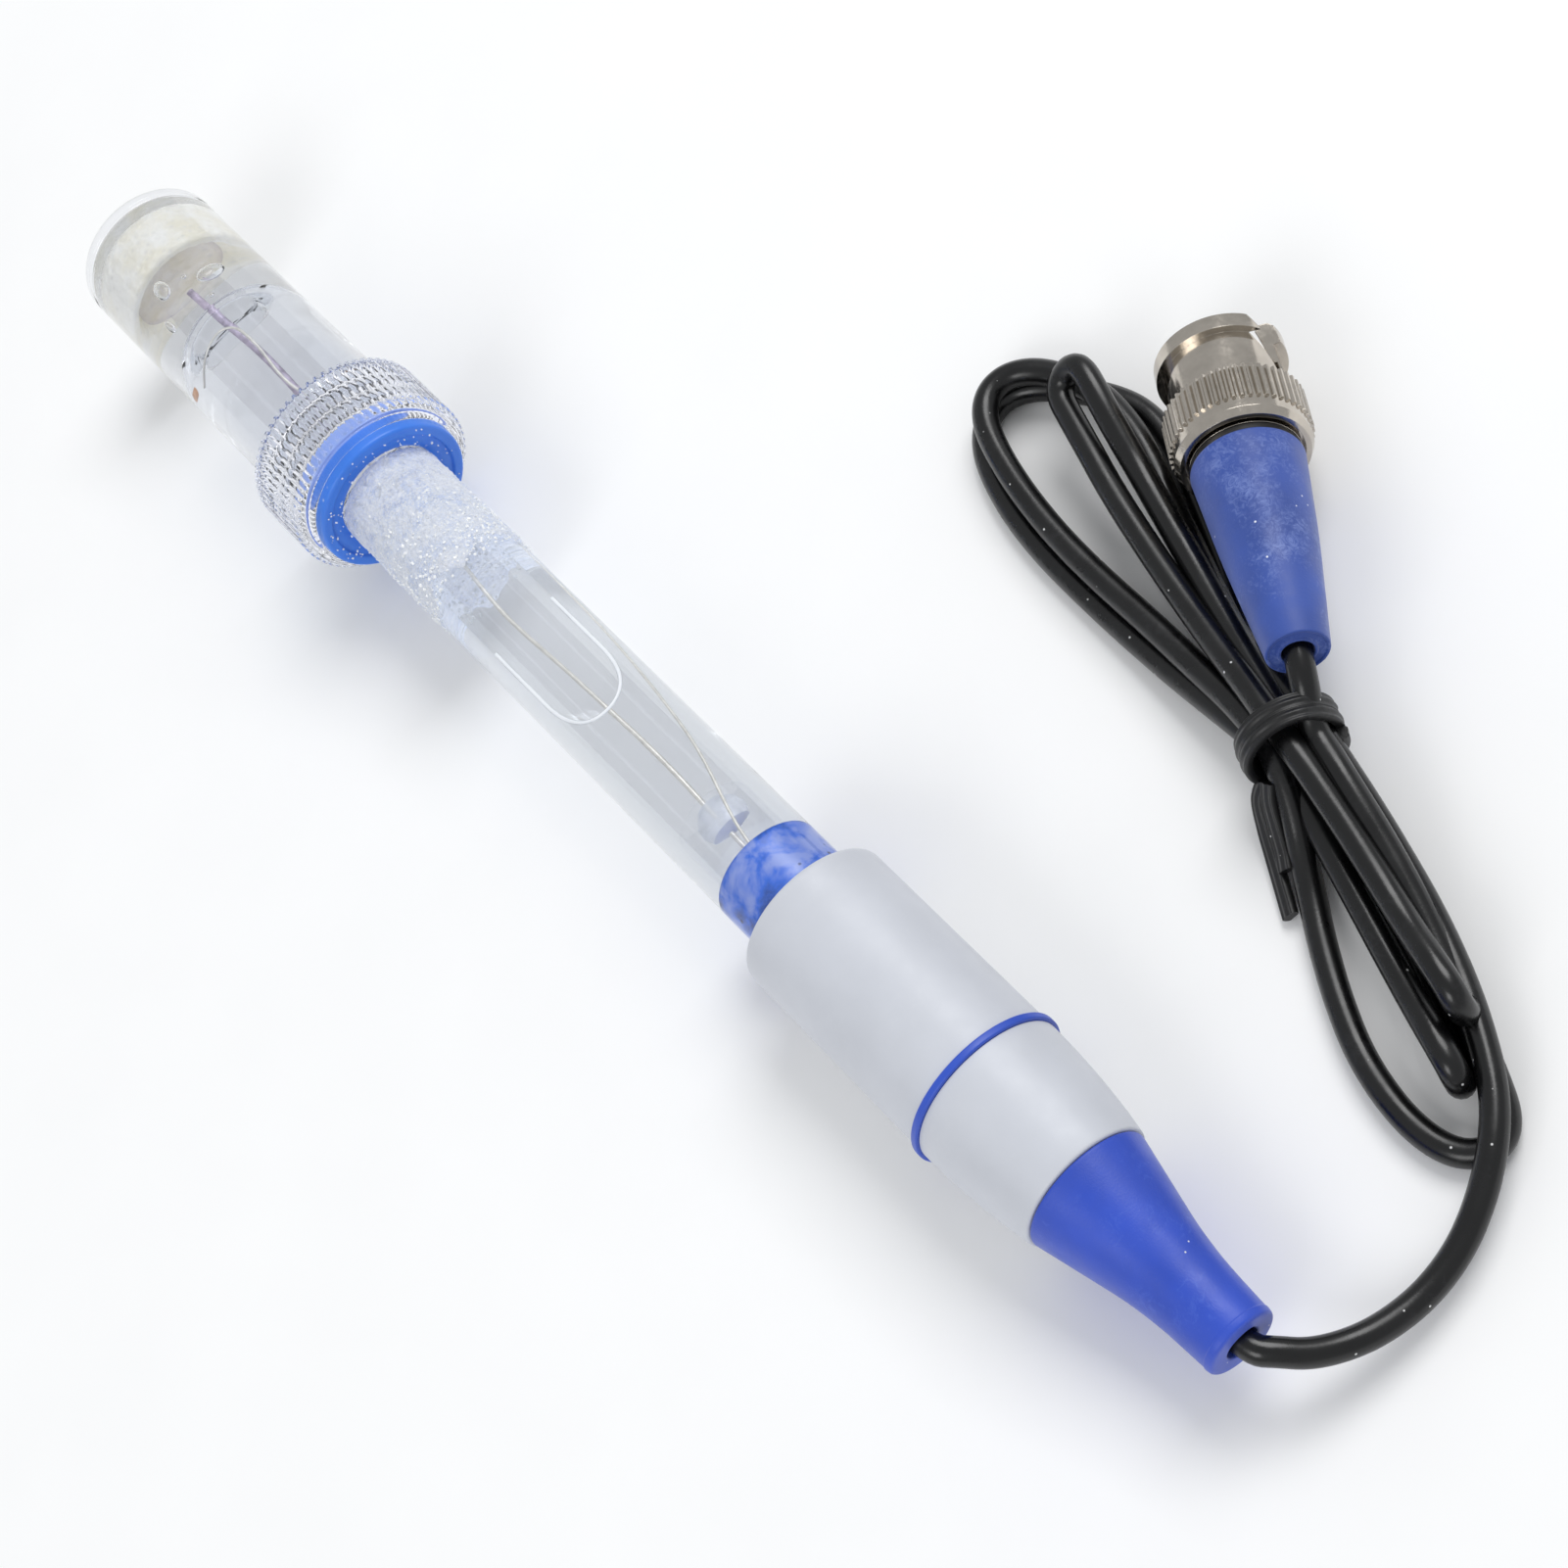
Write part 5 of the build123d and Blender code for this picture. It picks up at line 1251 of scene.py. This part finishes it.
class ELECTRODE_OT_bubbles(bpy.types.Operator):
    """Air bubbles that cling inside the storage bottle"""

    bl_idname = "electrode.bubbles"
    bl_label = "Air bubbles"

    def execute(self, context):
        # Station, distance from the axis, angle, and half length, half width and half height of each bubble
        station, radius, angle, half_length, half_width, half_height = np.array([
            (16.1, 6.9, 0.44, 1.2, 1.6, 0.6), (13.3, 6.9, -0.28, 1.5, 0.9, 0.6), (17.3, 7.0, -0.59, 1.1, 0.4, 0.4),
            (14.6, 7.2, 0.1, 0.3, 0.3, 0.25), (19.4, 7.2, 0.2, 0.35, 0.3, 0.25),
        ]).T[:, :, None]
        rows, around = 25, 32
        polar = np.linspace(0, pi, rows)[:, None]
        turn = full_turn(around)[None, :]
        ball = np.stack([-np.cos(polar) * np.ones_like(turn), np.sin(polar) * np.cos(turn),
                         np.sin(polar) * np.sin(turn)], -1)
        up, side = electrode_line.up, electrode_line.side
        axes = MM * np.stack([
            half_length * electrode_line.along,
            half_height * (np.cos(angle) * up + np.sin(angle) * side),
            half_width * (np.cos(angle) * side - np.sin(angle) * up),
        ], 1)
        points = electrode_line.at(station, radius, angle)[:, None] + np.einsum("pqa,nac->npqc", ball, axes)
        faces = grid_faces(rows, around, False, True)[:, ::-1]
        faces = (np.arange(len(axes))[:, None, None] * rows * around + faces).reshape(-1, 4)
        skin = clear("solution's surface round the bubbles", 1.34, (0.985, 0.99, 0.995), (0.97, 0.97, 0.98))
        make_piece("air_bubbles", points, [skin], faces=faces, body="bottle", slot="solution", poles=True, inner=True)
        return {"FINISHED"}


GROUPS = {
    "bottle_settings": BottleSettings,
    "glass_settings": GlassSettings,
    "handle_settings": HandleSettings,
    "cable_settings": CableSettings,
    "plug_settings": PlugSettings,
    "salt_settings": SaltSettings,
    "stage_settings": StageSettings,
}
OPERATORS = (
    ELECTRODE_OT_stage,
    ELECTRODE_OT_cable,
    ELECTRODE_OT_bottle,
    ELECTRODE_OT_cap,
    ELECTRODE_OT_glass,
    ELECTRODE_OT_wires,
    ELECTRODE_OT_handle,
    ELECTRODE_OT_tie,
    ELECTRODE_OT_plug,
    ELECTRODE_OT_salt,
    ELECTRODE_OT_bubbles,
)


class ELECTRODE_PT_pieces(bpy.types.Panel):
    """Sizes, colours and buttons for the electrode's pieces"""

    bl_label = "Electrode"
    bl_idname = "ELECTRODE_PT_pieces"
    bl_space_type = "VIEW_3D"
    bl_region_type = "UI"
    bl_category = "Electrode"

    def draw(self, context):
        for group_name, group in GROUPS.items():
            box = self.layout.box()
            for property_name in group.__annotations__:
                box.prop(getattr(context.scene, group_name), property_name)
        for operator in OPERATORS:
            self.layout.operator(operator.bl_idname)


def register():
    for group_name, group in GROUPS.items():
        bpy.utils.register_class(group)
        setattr(bpy.types.Scene, group_name, PointerProperty(type=group))
    for item in (*OPERATORS, ELECTRODE_PT_pieces):
        bpy.utils.register_class(item)


def unregister():
    for item in (ELECTRODE_PT_pieces, *reversed(OPERATORS)):
        bpy.utils.unregister_class(item)
    for group_name, group in reversed(GROUPS.items()):
        delattr(bpy.types.Scene, group_name)
        bpy.utils.unregister_class(group)


def main():
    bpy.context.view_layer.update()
    register()
    for operator in OPERATORS:
        category, name = operator.bl_idname.split(".")
        getattr(getattr(bpy.ops, category), name)()


if __name__ == "__main__":
    main()
